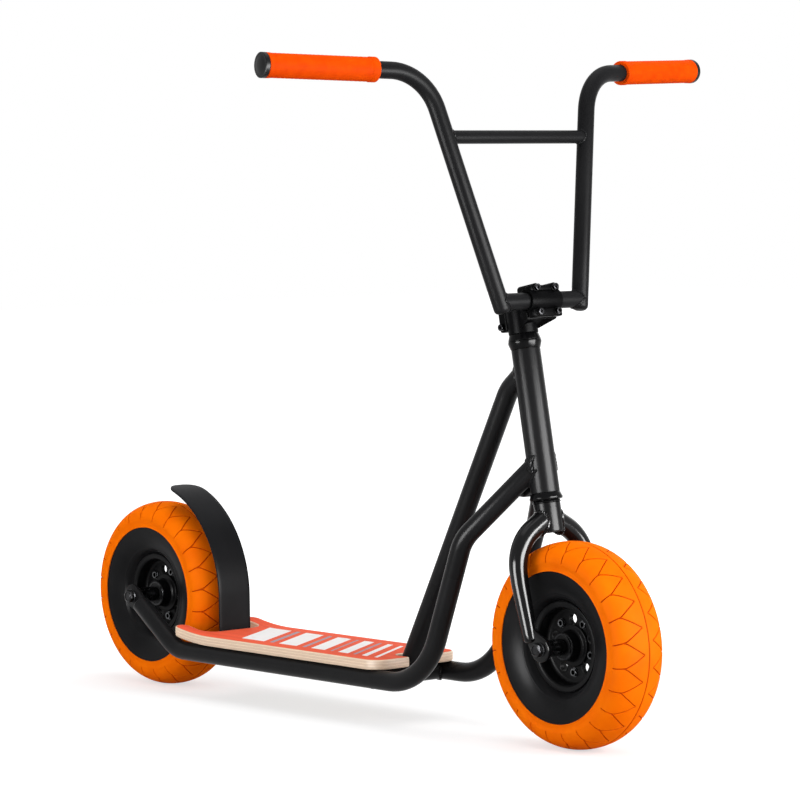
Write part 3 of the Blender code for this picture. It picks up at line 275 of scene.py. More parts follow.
def roundedBlock(low, high, bevel, segments=4):
    low, high = Vector(low), Vector(high)
    bm = bmesh.new()
    place = Matrix.Translation((low + high) / 2) @ Matrix.Diagonal((*(high - low), 1))
    bmesh.ops.create_cube(bm, size=1, matrix=place)
    return bevelled(bm, bm.edges[:], bevel, segments)


def plateRound(circles, low, high, bevel=0.0012):
    # a flat plate drawn round circles of (x, z, radius), square to Y
    bm = bmesh.new()
    for x, z, radius in circles:
        for y in (low, high):
            bmesh.ops.create_circle(bm, segments=40, radius=radius, matrix=placeAt(x, y, z, pi / 2))
    hull = bmesh.ops.convex_hull(bm, input=bm.verts)
    bmesh.ops.delete(bm, geom=vertsOf(hull["geom_interior"]), context="VERTS")
    bmesh.ops.dissolve_limit(bm, angle_limit=0.01, verts=bm.verts, edges=bm.edges)
    return bevelled(bm, rimsOf(bm, 1), bevel, clamp=False)


def joined(*parts):
    whole = bmesh.new()
    for part in parts:
        carrier = bpy.data.meshes.new("carrier")
        part.to_mesh(carrier)
        part.free()
        whole.from_mesh(carrier)
        bpy.data.meshes.remove(carrier)
    return whole


def placed(bm, place):
    bm.transform(place)
    return bm


def painted(bm, index, test=None):
    for face in bm.faces:
        if test is None or test(face.calc_center_median()):
            face.material_index = index
    return bm


def linked(thing):
    bpy.context.collection.objects.link(thing)
    return thing


def objectOf(name, bm):
    mesh = bpy.data.meshes.new(name)
    bm.to_mesh(mesh)
    bm.free()
    return linked(bpy.data.objects.new(mesh.name, mesh))


def cutBy(bm, cutter):
    # takes the cutter's shape out of another, for holes
    carriers = [objectOf("carrier", shape) for shape in (bm, cutter)]
    bore = carriers[0].modifiers.new("bore", "BOOLEAN")
    bore.operation, bore.solver, bore.object = "DIFFERENCE", "EXACT", carriers[1]
    cut = bpy.data.meshes.new_from_object(carriers[0].evaluated_get(bpy.context.evaluated_depsgraph_get()))
    bored = bmesh.new()
    bored.from_mesh(cut)
    for mesh in [carrier.data for carrier in carriers] + [cut]:
        bpy.data.meshes.remove(mesh)
    return bored


def finished(node, bm, names, body, sharp=35):
    # the visible piece for a node, named after it; its finishes become its materials in order
    first, *rest = [word for word in node.split("_") if word != "half"]
    piece = objectOf(first + "".join(word.capitalize() for word in rest), bm)
    for name in names.split():
        piece.data.materials.append(finish[name])
    piece.data.shade_smooth()
    piece.data.set_sharp_from_angle(angle=radians(sharp))
    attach(piece, body)
    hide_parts(node)


# shader nodes

def newNode(tree, kind, inputs=None, out=0, **settings):
    # a node with its inputs set or linked; gives one of its outputs, or all of them
    made = tree.nodes.new("ShaderNode" + kind)
    for key, value in settings.items():
        setattr(made, key, value)
    for key, value in (inputs or {}).items():
        fill(tree, made.inputs[key], value)
    return made.outputs if out is None else made.outputs[out]


def fill(tree, socket, value):
    if isinstance(value, bpy.types.NodeSocket):
        tree.links.new(value, socket)
    else:
        socket.default_value = (*value, 1) if isinstance(value, tuple) and socket.type == "RGBA" else value


def mathOf(tree, kind, *numbers):
    return newNode(tree, "Math", dict(enumerate(numbers)), operation=kind)


def rangeOf(tree, value, low, high, newLow, newHigh, kind="LINEAR"):
    ends = {"From Min": low, "From Max": high, "To Min": newLow, "To Max": newHigh}
    return newNode(tree, "MapRange", {"Value": value, **ends}, interpolation_type=kind)


def noiseOn(tree, scale, detail=3, stretch=(1, 1, 1), source=None, roughness=0.5):
    source = source or newNode(tree, "TexCoord", out="Object")
    fit = newNode(tree, "Mapping", {"Vector": source, "Scale": stretch})
    ends = {"Vector": fit, "Scale": scale, "Detail": detail, "Roughness": roughness}
    return newNode(tree, "TexNoise", ends)


def rampOf(tree, value, stops, kind="LINEAR"):
    made = tree.nodes.new("ShaderNodeValToRGB")
    made.color_ramp.interpolation = kind
    marks = made.color_ramp.elements
    for k, (place, colour) in enumerate(stops):
        mark = marks[k] if k < 2 else marks.new(place)
        mark.position = place
        mark.color = (*colour, 1) if isinstance(colour, tuple) else (colour, colour, colour, 1)
    tree.links.new(value, made.inputs["Fac"])
    return made.outputs["Color"]


def mixOf(tree, share, first, second, kind="MIX"):
    return newNode(tree, "Mix", {6: first, 7: second, "Factor": share}, 2, data_type="RGBA", blend_type=kind)


def seenDirectly(tree):
    # 1 for what the camera sees itself, in reflections or through clear things, else 0
    rays = newNode(tree, "LightPath", out=None)
    seen = mathOf(tree, "MAXIMUM", rays["Is Camera Ray"], rays["Is Glossy Ray"])
    return mathOf(tree, "MAXIMUM", seen, rays["Is Transmission Ray"])


# camera and studio

studio = {
    "azimuth": 49.341794, "elevation": 3.490740, "roll": -0.778565, "target": (0.093935, 0, 0.436199),
    "distance": 4.758817, "focal": 3525.53 / 800 * 36, "lampsRound": (0.05, 0, 0.42),
    "ambient": 0.42, "backdrop": 1.0, "floorColour": (0.52, 0.52, 0.523), "floorSize": 14,
    # the floor's own light near the object and far from it, and the distances between which it changes
    "floorGlow": (0.60, 1.0), "glowFrom": 0.55, "glowTo": 1.1,
    # softboxes: along the camera's right, its back and up, width, height, power; "colour" ones light only
    # the colours, "shine" ones stand nearer and make the bands along the tubes
    "lamps": {
        "colourRight": (2.43, 1.76, 1.15, 2.6, 2.2, 92), "colourLeft": (-2.45, 1.80, 1.15, 1.8, 2.2, 48),
        "shineRight": (1.46, 1.22, 0.49, 1.40, 0.92, 245), "shineLeft": (-1.06, 1.23, 0.35, 0.80, 0.70, 84),
        "top": (0.1, 0.1, 3.1, 2.6, 2.0, 30), "backRim": (1.5, -2.3, 1.5, 1.0, 2.2, 12),
    },
}


def setCamera():
    az, el, roll = (radians(angle) for angle in values(studio, "azimuth elevation roll"))
    back = Vector((sin(az) * cos(el), -cos(az) * cos(el), sin(el)))
    right = (-back).cross(Vector((0, 0, 1))).normalized()
    up = right.cross(-back)
    across, above = right * cos(roll) + up * sin(roll), up * cos(roll) - right * sin(roll)
    lens = bpy.data.cameras.new("camera")
    lens.sensor_width, lens.lens, lens.clip_end = 36, studio["focal"], 60
    camera = linked(bpy.data.objects.new("camera", lens))
    turn = Matrix((across, above, back)).transposed().to_4x4()
    camera.matrix_world = Matrix.Translation(Vector(studio["target"]) + back * studio["distance"]) @ turn
    bpy.context.scene.camera = camera
    return right


def setLamps(right):
    ahead = Vector((0, 0, 1)).cross(right)  # level, from the camera towards the object
    centre = Vector(studio["lampsRound"])
    for name, (aside, nearer, height, width, tall, power) in studio["lamps"].items():
        light = bpy.data.lights.new(name, "AREA")
        light.shape, light.size, light.size_y, light.energy = "RECTANGLE", width, tall, power
        lamp = linked(bpy.data.objects.new(name, light))
        lamp.visible_diffuse = not name.startswith("shine")
        lamp.visible_glossy = not name.startswith("colour")
        place = Vector((centre.x, centre.y, 0)) + right * aside - ahead * nearer + Vector((0, 0, height))
        aim = (centre - place).normalized()
        if name.startswith("shine"):
            aim.z = 0
        lamp.matrix_world = Matrix.Translation(place) @ aim.to_track_quat("-Z", "Y").to_matrix().to_4x4()


def setWorld():
    # white to the camera and in reflections, a plain grey level for everything else
    world = bpy.data.worlds.new("studioWorld")
    world.use_nodes = True
    bpy.context.scene.world = world
    tree = world.node_tree
    tree.nodes.clear()
    level = rangeOf(tree, seenDirectly(tree), 0, 1, *values(studio, "ambient backdrop"))
    backdrop = newNode(tree, "Background", {"Color": (1, 1, 1), "Strength": level})
    newNode(tree, "OutputWorld", {"Surface": backdrop}, None)


def setFloor():
    # a pale floor that is white to the camera and in reflections where no shadow falls
    mat, tree = newFinish("studioFloor", {
        "Base Color": studio["floorColour"], "Roughness": 1, "Specular IOR Level": 0,
        "Emission Color": (1, 1, 1)})
    spot = newNode(tree, "TexCoord", out="Object")
    away = newNode(tree, "VectorMath", {0: spot}, "Value", operation="LENGTH")
    glow = rangeOf(tree, away, *values(studio, "glowFrom glowTo"), *studio["floorGlow"], "SMOOTHSTEP")
    wire(mat, "Emission Strength", mathOf(tree, "MULTIPLY", seenDirectly(tree), glow))
    bm = bmesh.new()
    bmesh.ops.create_grid(bm, x_segments=1, y_segments=1, size=studio["floorSize"])
    floor = objectOf("floor", bm)
    floor.data.materials.append(mat)


def wire(mat, key, value):
    # sets or links an input of the main shader
    fill(mat.node_tree, mat.node_tree.nodes["Principled BSDF"].inputs[key], value)


def newFinish(name, sockets):
    mat = bpy.data.materials.new(name)
    mat.use_nodes = True
    for key, value in sockets.items():
        wire(mat, key, value)
    return mat, mat.node_tree


bpy.context.scene.view_settings.view_transform = "Standard"
setLamps(setCamera())
setWorld()
setFloor()
print("camera, lamps, backdrop and floor set")


# finishes

# what the finishes of a kind share: the cloud's scale and detail, where its dark and light colours lie, then
# the fine grain's scale, stretch, depth and strength: orange peel on paint, brushing on metal, skin on rubber
kinds = {
    "paint": {"cloud": (9, 4), "stops": (0.3, 0.72), "grain": 620, "stretch": (1, 1, 1), "depth": 0.00004,
              "strength": 0.5},
    "metal": {"cloud": (120, 4), "stops": (0.3, 0.7), "grain": 900, "stretch": (1, 0.12, 1), "depth": 0.00002,
              "strength": 0.4, "metallic": 1, "specular": 0.5},
    "rubber": {"cloud": (26, 5), "stops": (0.28, 0.74), "grain": 1400, "stretch": (1, 1, 1), "depth": 0.00005,
               "strength": 0.45},
}
# dark and light colour, roughness from and to, and what differs from the kind
looks = {
    "satinBlackPaint": {"kind": "paint", "slot": "satin_black_paint", "specular": 0.05,
                        "roughness": (0.26, 0.33),
                        "colours": ((0.0086, 0.0086, 0.0092), (0.0118, 0.0118, 0.0125))},
    "barBlackPaint": {"kind": "paint", "slot": "bar_black_paint", "specular": 0.025,
                      "roughness": (0.30, 0.38),
                      "colours": ((0.0090, 0.0090, 0.0096), (0.0122, 0.0122, 0.0130))},
    "glossBlackPaint": {"kind": "paint", "slot": "gloss_black_paint", "specular": 0.135,
                        "roughness": (0.13, 0.18),
                        "grain": 380, "colours": ((0.0030, 0.0030, 0.0033), (0.0046, 0.0046, 0.0050))},
    "footBlackPaint": {"kind": "paint", "slot": "gloss_black_paint", "specular": 0.07,
                       "roughness": (0.22, 0.28),
                       "grain": 380, "colours": ((0.0030, 0.0030, 0.0033), (0.0046, 0.0046, 0.0050))},
    "anodisedBlack": {"kind": "paint", "slot": "anodised_black", "specular": 0.012, "roughness": (0.3, 0.4),
                      "grain": 1900, "depth": 0.00005,
                      "colours": ((0.0024, 0.0024, 0.0027), (0.0040, 0.0040, 0.0044))},
    "headsetBlack": {"kind": "paint", "slot": "headset_black", "specular": 0.06, "roughness": (0.16, 0.22),
                     "grain": 900, "colours": ((0.0024, 0.0024, 0.0027), (0.0040, 0.0040, 0.0044))},
    "rimBlackPaint": {"kind": "paint", "slot": "rim_black_paint", "specular": 0.05, "roughness": (0.34, 0.44),
                      "colours": ((0.0026, 0.0026, 0.0029), (0.0042, 0.0042, 0.0046))},
    "hubBlack": {"kind": "paint", "slot": "hub_black", "specular": 0.05,
                 "roughness": (0.30, 0.42), "grain": 1500,
                 "colours": ((0.0028, 0.0028, 0.0031), (0.0044, 0.0044, 0.0048))},
    "plugPlastic": {"kind": "paint", "slot": "plug_plastic", "specular": 0.08, "roughness": (0.32, 0.44),
                    "grain": 1700, "depth": 0.00008,
                    "colours": ((0.0060, 0.0060, 0.0064), (0.0095, 0.0095, 0.0100))},
    "matteBlackSteel": {"kind": "paint", "slot": "matte_black_steel", "specular": 0.04,
                        "roughness": (0.3, 0.36),
                        "grain": 800, "depth": 0.00007,
                        "colours": ((0.0052, 0.0053, 0.0061), (0.0086, 0.0087, 0.0098))},
    "sealRubber": {"kind": "paint", "specular": 0.08, "roughness": (0.5, 0.6), "grain": 2400,
                   "colours": ((0.0060, 0.0060, 0.0064), (0.0100, 0.0100, 0.0105))},
    "zincSteel": {"kind": "metal", "slot": "chromed_steel", "roughness": (0.12, 0.30),
                  "colours": ((0.040, 0.041, 0.043), (0.095, 0.096, 0.100))},
    "darkSteel": {"kind": "metal", "slot": "dark_steel", "roughness": (0.20, 0.34),
                  "colours": ((0.010, 0.010, 0.011), (0.026, 0.026, 0.027))},
    "blackOxide": {"kind": "metal", "slot": "dark_steel", "roughness": (0.14, 0.26),
                   "colours": ((0.016, 0.016, 0.017), (0.034, 0.034, 0.036))},
    # its groove colour is painted shade, a darker orange for the bottoms of the carved grooves
    "tyreOrange": {"kind": "rubber", "slot": "tyre_rubber", "specular": 0.008, "roughness": (0.56, 0.68),
                   "colours": ((0.91, 0.146, 0.0006), (0.99, 0.190, 0.0009)),
                   "paintedGrooveShade": (0.56, 0.058, 0.0008)},
    "tyreBlack": {"kind": "rubber", "specular": 0.03, "roughness": (0.28, 0.34),
                  "colours": ((0.0074, 0.0074, 0.0080), (0.0112, 0.0112, 0.0120))},
    "gripOrange": {"kind": "rubber", "slot": "orange_grip_rubber", "specular": 0.006,
                   "roughness": (0.56, 0.68),
                   "cloud": (75, 5), "grain": 700, "depth": 0.00012,
                   "colours": ((0.72, 0.054, 0.0006), (0.82, 0.078, 0.0009))},
    "printedTop": {"slot": "printed_maple"},
}
deckPrint = {
    "coral": (0.84, 0.125, 0.060), "coralDeep": (0.72, 0.092, 0.042), "white": (0.86, 0.84, 0.83),
    "grey": (0.36, 0.32, 0.36),
    "slant": 0.62, "start": -0.25, "end": 0.105, "bandHalf": 0.050,
    # slanted bars: where each starts and ends along the print, then its colour
    "bars": ((0.06, 0.20, "white"), (0.235, 0.26, "grey"), (0.295, 0.405, "white"), (0.44, 0.46, "grey"),
             (0.495, 0.575, "white"), (0.61, 0.625, "grey"), (0.66, 0.715, "white"), (0.75, 0.762, "grey"),
             (0.80, 0.832, "white"), (0.875, 0.892, "white")),
}
plywood = {
    "plies": 7, "glueFrom": 0.9,  # glueFrom: the share of a ply where its glue line starts
    "maple": (0.88, 0.68, 0.50), "cross": (0.80, 0.585, 0.42), "glue": (0.62, 0.42, 0.29),
    "veneer": ((0.56, 0.36, 0.19), (0.74, 0.53, 0.32)),
}


def dressed(mat, colour, cloud, roughness, grain, depth, strength):
    # a colour, a roughness that follows the clouds and a fine bump from the grain
    tree = mat.node_tree
    wire(mat, "Base Color", colour)
    wire(mat, "Roughness", rangeOf(tree, cloud, 0.3, 0.7, *roughness))
    wire(mat, "Normal", newNode(tree, "Bump", {"Height": grain, "Distance": depth, "Strength": strength}))
    return mat


def surface(name, look):
    # paint, metal or rubber: clouded colour and gloss, a fine grain, and painted shade in the grooves where
    # the piece marks them
    look = kinds[look["kind"]] | look
    mat, tree = newFinish(name, {"Metallic": look.get("metallic", 0), "Specular IOR Level": look["specular"]})
    cloud, grain = noiseOn(tree, *look["cloud"]), noiseOn(tree, look["grain"], 2, look["stretch"])
    colour = rampOf(tree, cloud, zip(look["stops"], look["colours"]))
    # painted shade: where the piece marks its carved grooves, the colour turns to the darker groove shade
    if "paintedGrooveShade" in look:
        mark = newNode(tree, "Attribute", out="Fac", attribute_name="paintedGrooveShade")
        colour = mixOf(tree, mark, colour, look["paintedGrooveShade"])
    return dressed(mat, colour, cloud, look["roughness"], grain, look["depth"], look["strength"])


def printedTop():
    # coral lacquer over maple with slanted bars
    mat, tree = newFinish("printedTop", {"Specular IOR Level": 0.03})
    coral, deep, slant, start, end = values(deckPrint, "coral coralDeep slant start end")
    spot = newNode(tree, "TexCoord", out="Object")
    x, y, _ = newNode(tree, "SeparateXYZ", {0: spot}, None)
    grain = noiseOn(tree, 55, 5, (0.12, 1, 1), spot)
    run = rangeOf(tree, mathOf(tree, "MULTIPLY_ADD", y, slant, x), start, end, 0, 1)
    stops, shown = [(0.0, 0.0)], [(0.0, deckPrint["white"])]
    for begin, stop, colour in deckPrint["bars"]:
        stops += [(begin, 1.0), (stop, 0.0)]
        shown.append((begin - 0.01, deckPrint[colour]))
    inBand = mathOf(tree, "LESS_THAN", mathOf(tree, "ABSOLUTE", y), deckPrint["bandHalf"])
    barMask = mathOf(tree, "MULTIPLY", rampOf(tree, run, stops, "CONSTANT"), inBand)
    lacquer = rampOf(tree, grain, ((0.3, deep), (0.62, coral)))
    base = mixOf(tree, barMask, lacquer, rampOf(tree, run, shown, "CONSTANT"))
    scuff = rampOf(tree, noiseOn(tree, 130, 6, (0.3, 1, 1), spot, 0.7), ((0.56, 0.0), (0.8, 0.35)))
    return dressed(mat, mixOf(tree, scuff, base, deep, "MULTIPLY"), grain, (0.55, 0.7), grain, 0.00012, 0.35)


def plywoodEdge():
    # thin veneers one on another, read from the sheet's own height value, with end grain in the cross plies
    mat, tree = newFinish("plywoodEdge", {"Specular IOR Level": 0.35})
    plies, glueFrom, glue = values(plywood, "plies glueFrom glue")
    stops = []
    for k in range(plies):
        stops += [(k / plies, plywood["cross" if k % 2 else "maple"]), ((k + glueFrom) / plies, glue)]
    layers = rampOf(tree, newNode(tree, "Attribute", out="Fac", attribute_name="ply"), stops, "CONSTANT")
    fibre = noiseOn(tree, 420, 4, (0.2, 0.2, 3.0))
    shade = rampOf(tree, fibre, ((0.3, 0.8), (0.7, 1.0)))
    return dressed(mat, mixOf(tree, 0.7, layers, shade, "MULTIPLY"), fibre, (0.42, 0.6), fibre, 0.00015, 0.5)


def mapleVeneer():
    # the deck's plain maple underside
    mat, tree = newFinish("mapleVeneer", {"Specular IOR Level": 0.4})
    fit = newNode(tree, "Mapping", {"Vector": newNode(tree, "TexCoord", out="Object"), "Scale": (0.22, 1, 1)})
    rings = newNode(tree, "TexWave", {"Vector": fit, "Scale": 22, "Distortion": 5.5, "Detail": 3}, "Fac",
                    bands_direction="Y")
    grain = noiseOn(tree, 260, 4, (0.06, 1, 1))
    tone = mixOf(tree, noiseOn(tree, 6, 2, (0.5, 1, 1)), rings, grain)
    veneer = rampOf(tree, tone, zip((0.2, 0.8), plywood["veneer"]))
    return dressed(mat, veneer, grain, (0.36, 0.5), grain, 0.0001, 0.4)


finish = {name: surface(name, look) for name, look in looks.items() if "kind" in look}
finish |= {"printedTop": printedTop(), "plywoodEdge": plywoodEdge(), "mapleVeneer": mapleVeneer()}
print("finishes made:", len(finish))


# tyres

tyre = {
    "radius": 0.134, "halfWidth": 0.040, "widest": 0.108, "fullness": 0.95,
    "beadHalf": 0.0225, "beadFoot": 0.0616, "lip": 0.0588, "seat": 0.0528, "beadFace": 0.0194,
    "pitches": 24, "halfColumns": 14, "landColumns": 5,
    # the tread, by distance from the crown along the skin: a zigzag groove with a tail down each shoulder
    "zigzag": (0.008, 0.034), "tail": 0.051, "tailDrift": 0.002, "floorHalf": 0.0006, "mouthHalf": 0.0012,
    "crownHalf": 0.0006, "depthAt": (0.008, 0.034, 0.051), "depths": (0.0009, 0.0015, 0.0021),
    "border": 0.098, "hollow": 0.0009, "lipHeight": 0.0006, "borderDrop": 0.0012,
    "beadRing": (0.0672, 0.0005, 0.0009),  # radius, height, half width
}


def smoothStep(value, low, high):
    share = min(1, max(0, (value - low) / (high - low)))
    return share * share * (3 - 2 * share)


def tyreOutline():
    # half of the outer profile, crown to bead, as dense points with their distance from the crown
    radius, widest, half, fullness = values(tyre, "radius widest halfWidth fullness")
    beadHalf, beadFoot = values(tyre, "beadHalf beadFoot")
    turns = np.linspace(0, pi / 2, 500)
    bulge = half * np.sin(turns) ** fullness
    tread = np.stack([widest + (radius - widest) * np.cos(turns) ** fullness, bulge], 1)
    tread[-1] = (widest, half)
    share = np.sin(np.linspace(0, pi / 2, 300)[1:])
    width = beadHalf + (half - beadHalf) * np.sqrt(1 - share ** 2)
    wall = np.stack([widest - share * (widest - beadFoot), width], 1)
    points = np.concatenate([tread, wall])
    return points, np.concatenate([[0], np.cumsum(np.linalg.norm(np.diff(points, axis=0), axis=1))])


def skinSpot(points, along, s, sink=0):
    # the outline's point at a distance from the crown, pushed into the rubber
    def at(distance):
        return np.array([np.interp(distance, along, points[:, k]) for k in (0, 1)])

    way = at(min(s + 2e-4, along[-1])) - at(max(0, s - 2e-4))
    inward = np.array([-way[1], way[0]]) / np.linalg.norm(way)
    if s < 2e-4:
        inward = np.array([-1.0, 0.0])
    return at(s) + inward * sink


def tyreRows(points, along):
    # rows of the half profile: distance from the crown, radius, height
    onWall = points[:, 0] < tyre["widest"] - 1e-9

    def wallDistance(radius):
        return float(np.interp(-radius, -points[onWall, 0], along[onWall]))

    (first, last), tail, crown, lip, drop = values(tyre, "zigzag tail crownHalf lipHeight borderDrop")
    border = wallDistance(tyre["border"])
    spacings = [0, crown, crown * 2.1, 0.0022, 0.0040, 0.0057, first - 0.0009]
    spacings += [*np.linspace(first, last, 12), *np.linspace(last, tail, 8)[1:], tail + 0.0009]
    spacings += [*np.linspace(tail + 0.0009, border - 0.0019, 6)[1:]]
    rows = []
    for s in spacings:
        share = smoothStep(s, tail, tail + 0.006) - smoothStep(s, border - 0.006, border - 0.001)
        rows.append((s, *skinSpot(points, along, s, tyre["hollow"] * share)))
    for past, sink in ((-0.0012, 0), (-0.0008, -lip * 0.8), (-0.0005, -lip), (-0.0002, -lip * 0.8), (0, lip),
                       (0.0001, drop * 0.6), (0.0004, drop)):
        rows.append((border + past, *skinSpot(points, along, border + past, sink)))
    ringAt, ringHigh, ringHalf = tyre["beadRing"]
    rings = [ringAt + share * ringHalf for share in (1.6, 0.6, -0.6, -1.6)]
    for radius in sorted([*np.linspace(0.0968, 0.0628, 12), *rings], reverse=True):
        lift = ringHigh if abs(radius - ringAt) < ringHalf else 0
        s = wallDistance(radius)
        rows.append((s, *skinSpot(points, along, s, drop * smoothStep(radius, 0.0612, 0.070) - lift)))
    foot, half, edge, face, seat = values(tyre, "beadFoot beadHalf lip beadFace seat")
    return rows + [(along[-1], foot, half), (along[-1], edge, face), (along[-1], seat, face)], border


def grooveColumn(k, s):
    # how far column k lies from its pattern's middle at this distance from the crown, and how deep it is sunk
    half, land, tail, (first, last) = values(tyre, "halfColumns landColumns tail zigzag")
    span = pi * tyre["radius"] / tyre["pitches"]
    line = min(span - 0.00045, max(0.0005, (s - first) / (last - first) * span))
    slopes = ((tyre["mouthHalf"], 0.8), (tyre["floorHalf"], 0.4))
    before, after = ([min(width, share * room) for width, share in slopes] for room in (line, span - line))
    marks = [line - before[0], line - before[1], line, line + after[1], line + after[0]]
    if k <= land:
        place = marks[0] * k / land
    elif k <= land + 4:
        place = marks[k - land]
    else:
        place = marks[4] + (span - marks[4]) * (k - land - 4) / (half - land - 4)
    held = smoothStep(s, 0.001, first - 0.0009) * (1 - smoothStep(s, tail, tail + 0.0115))
    place = k / half * span * (1 - held) + place * held
    inZigzag, inTail = first - 1e-6 < s < last + 1e-6, last - 1e-6 < s < tail + 1e-6
    carved = ((inZigzag and land < k <= land + 3) or (inTail and k > land + 1)
              or (abs(s - first) < 1e-6 and k <= land + 3) or s < tyre["crownHalf"] + 1e-6)
    return place, carved, held * tyre["tailDrift"] * smoothStep(s, last, tail)


def makeTyre(end):
    # one repeat of the tread is spun and carved, then copied round the wheel
    points, along = tyreOutline()
    rows, border = tyreRows(points, along)
    pitch, half = 2 * pi / tyre["pitches"], tyre["halfColumns"]
    bm = bmesh.new()
    skin, paintedGrooveShade = bm.verts.layers.float.new("skin"), bm.verts.layers.float.new("paintedGrooveShade")
    ring = []
    for side, run in ((1, rows), (-1, rows[:0:-1])):
        for s, radius, height in run:
            ring.append(bm.verts.new((radius, 0, side * height)))
            ring[-1][skin] = side * s
    edges = [bm.edges.new(pair) for pair in zip(ring, ring[1:] + ring[:1])]
    spinRound(bm, ring + edges, pitch, 2 * half)
    shapes = {}
    for vert in bm.verts:
        s, left = abs(vert[skin]), vert[skin] > 0
        column = round(atan2(vert.co.y, vert.co.x) / pitch * 2 * half)
        # the left side is half a repeat away from the right
        if left:
            middle, k = pitch / 2, column - half
        else:
            middle, k = (0, column) if column <= half else (pitch, column - 2 * half)
        if (abs(k), s) not in shapes:
            shapes[abs(k), s] = grooveColumn(abs(k), s)
        place, carved, drift = shapes[abs(k), s]
        radius, height = sqrt(vert.co.x ** 2 + vert.co.y ** 2), abs(vert.co.z)
        if carved:
            radius, height = skinSpot(points, along, s, float(np.interp(s, tyre["depthAt"], tyre["depths"])))
            # marks the carved vertex for the painted shade in the grooves
            vert[paintedGrooveShade] = 1
        turn = middle + ((place if k > 0 else -place) + drift) / tyre["radius"]
        vert.co = (radius * cos(turn), radius * sin(turn), height if left else -height)
    for face in bm.faces:
        face.material_index = 1 if min(abs(vert[skin]) for vert in face.verts) > border - 1e-5 else 0
    repeat = bm.verts[:] + bm.edges[:] + bm.faces[:]
    spinRound(bm, repeat, 2 * pi - pitch, tyre["pitches"] - 1, use_duplicate=True)
    bm = placed(tidied(bm), wheelPlaces[end])
    finished(end + "_tyre", bm, "tyreOrange tyreBlack", end + "_wheel", sharp=32)


for end in ("front", "rear"):
    makeTyre(end)
print("tyres moulded")


# rims, hubs, bearings and rim bolts

wheel = {
    "seat": 0.0525, "flange": 0.0585, "halfWidth": 0.0225, "sheet": 0.0028, "fold": 0.0075,
    "boltCount": 5, "boltCircle": 0.0345, "boltRadius": 0.003, "headRadius": 0.0056, "headHeight": 0.004,
    "washerRadius": 0.0062, "tail": 0.003, "nut": (0.0051, 0.0022),  # nut radius, height
    "holeRadius": 0.0067, "holeLip": 0.0009,
    "hubRadius": 0.019, "hubHalf": 0.024, "hubWall": 0.0012, "flangeRadius": 0.0275, "flangeThickness": 0.004,
    "bearingWidth": 0.011, "axleRadius": 0.006,
    "firstBolt": {"front": radians(56), "rear": radians(64)},
}


def boltAngle(end, k):
    return wheel["firstBolt"][end] + 2 * pi * k / wheel["boltCount"]


def onBoltCircle(angle):
    return Matrix.Translation((wheel["boltCircle"] * cos(angle), -wheel["boltCircle"] * sin(angle), 0))


def makeRimHalf(end, tag, side):
    seat, flange, edge, sheet, fold = values(wheel, "seat flange halfWidth sheet fold")
    lip, size = values(wheel, "holeLip holeRadius")
    web, bore = gap / 2, wheel["hubRadius"] + gap
    outer = contour((bore, web), (seat, web, fold), (seat, edge - sheet, 0.0014), (flange, edge - sheet),
                    step=12)
    rolled = contour((flange, edge - sheet), (flange, edge, 0.0012), (seat - sheet, edge, 0.0042),
                     (seat - sheet, web + sheet, fold - sheet), (bore, web + sheet), step=12)
    face = side * (web + sheet)
    ring = [(size - 0.0001, face - side * 0.0008), (size - 0.0001, face + side * lip * 0.35),
            (size + lip * 0.5, face + side * lip * 0.55), (size + lip * 1.5, face - side * 0.0002)]
    lips, cutters = [], []
    for angle in (boltAngle(end, k) for k in range(wheel["boltCount"])):
        hole = onBoltCircle(angle + pi / wheel["boltCount"])
        lips.append(spun(ring, 32, hole))
        cutters += [rod(size, 0.02, 32, hole), rod(wheel["boltRadius"] + gap, 0.02, 20, onBoltCircle(angle))]
    bm = cutBy(spun([(r, side * h) for r, h in outer + rolled[1:]], 144), joined(*cutters))
    bm = placed(joined(bm, *lips), wheelPlaces[end])
    finished(f"{end}_rim_half_{tag}", bm, "rimBlackPaint", end + "_wheel")


def makeRimBolt(end, k):
    radius, head, washer, sheet = values(wheel, "boltRadius headRadius washerRadius sheet")
    nut, nutHigh = wheel["nut"]
    angle, foot, nutFoot = boltAngle(end, k), gap / 2 + sheet + gap, gap / 2 + sheet + 0.0001
    top = foot + wheel["headHeight"]
    ring = [(radius, -foot), (washer, -foot), (washer - 0.0003, -foot - 0.0009), (radius, -foot - 0.0009)]
    crown = [(0, -top + 0.0002), (head * 0.55, -top + 0.0002), (head * 0.8, -top), (head * 0.84, -top),
             (head * 0.86, -top + 0.0006), (0, -top + 0.001)]
    shank = [(0, -foot - 0.001), (radius, -foot - 0.001)]
    for at in (nutFoot + 0.0006 * ridge for ridge in range(5)):
        shank += [(radius, at), (radius - 0.0003, at + 0.0003)]
    shank += [(0, gap / 2 + sheet + wheel["tail"])]
    bm = joined(hexPrism(head, -top + 0.0002, -foot - 0.0008, 0.0006, -angle), spun(ring, 36),
                spun(crown, 36), spun(shank, 24), hexPrism(nut, nutFoot, nutFoot + nutHigh, 0.0004, angle))
    bm = placed(bm, wheelPlaces[end] @ onBoltCircle(angle))
    finished(f"{end}_rim_bolt_{k + 1}", bm, "zincSteel", end + "_wheel")


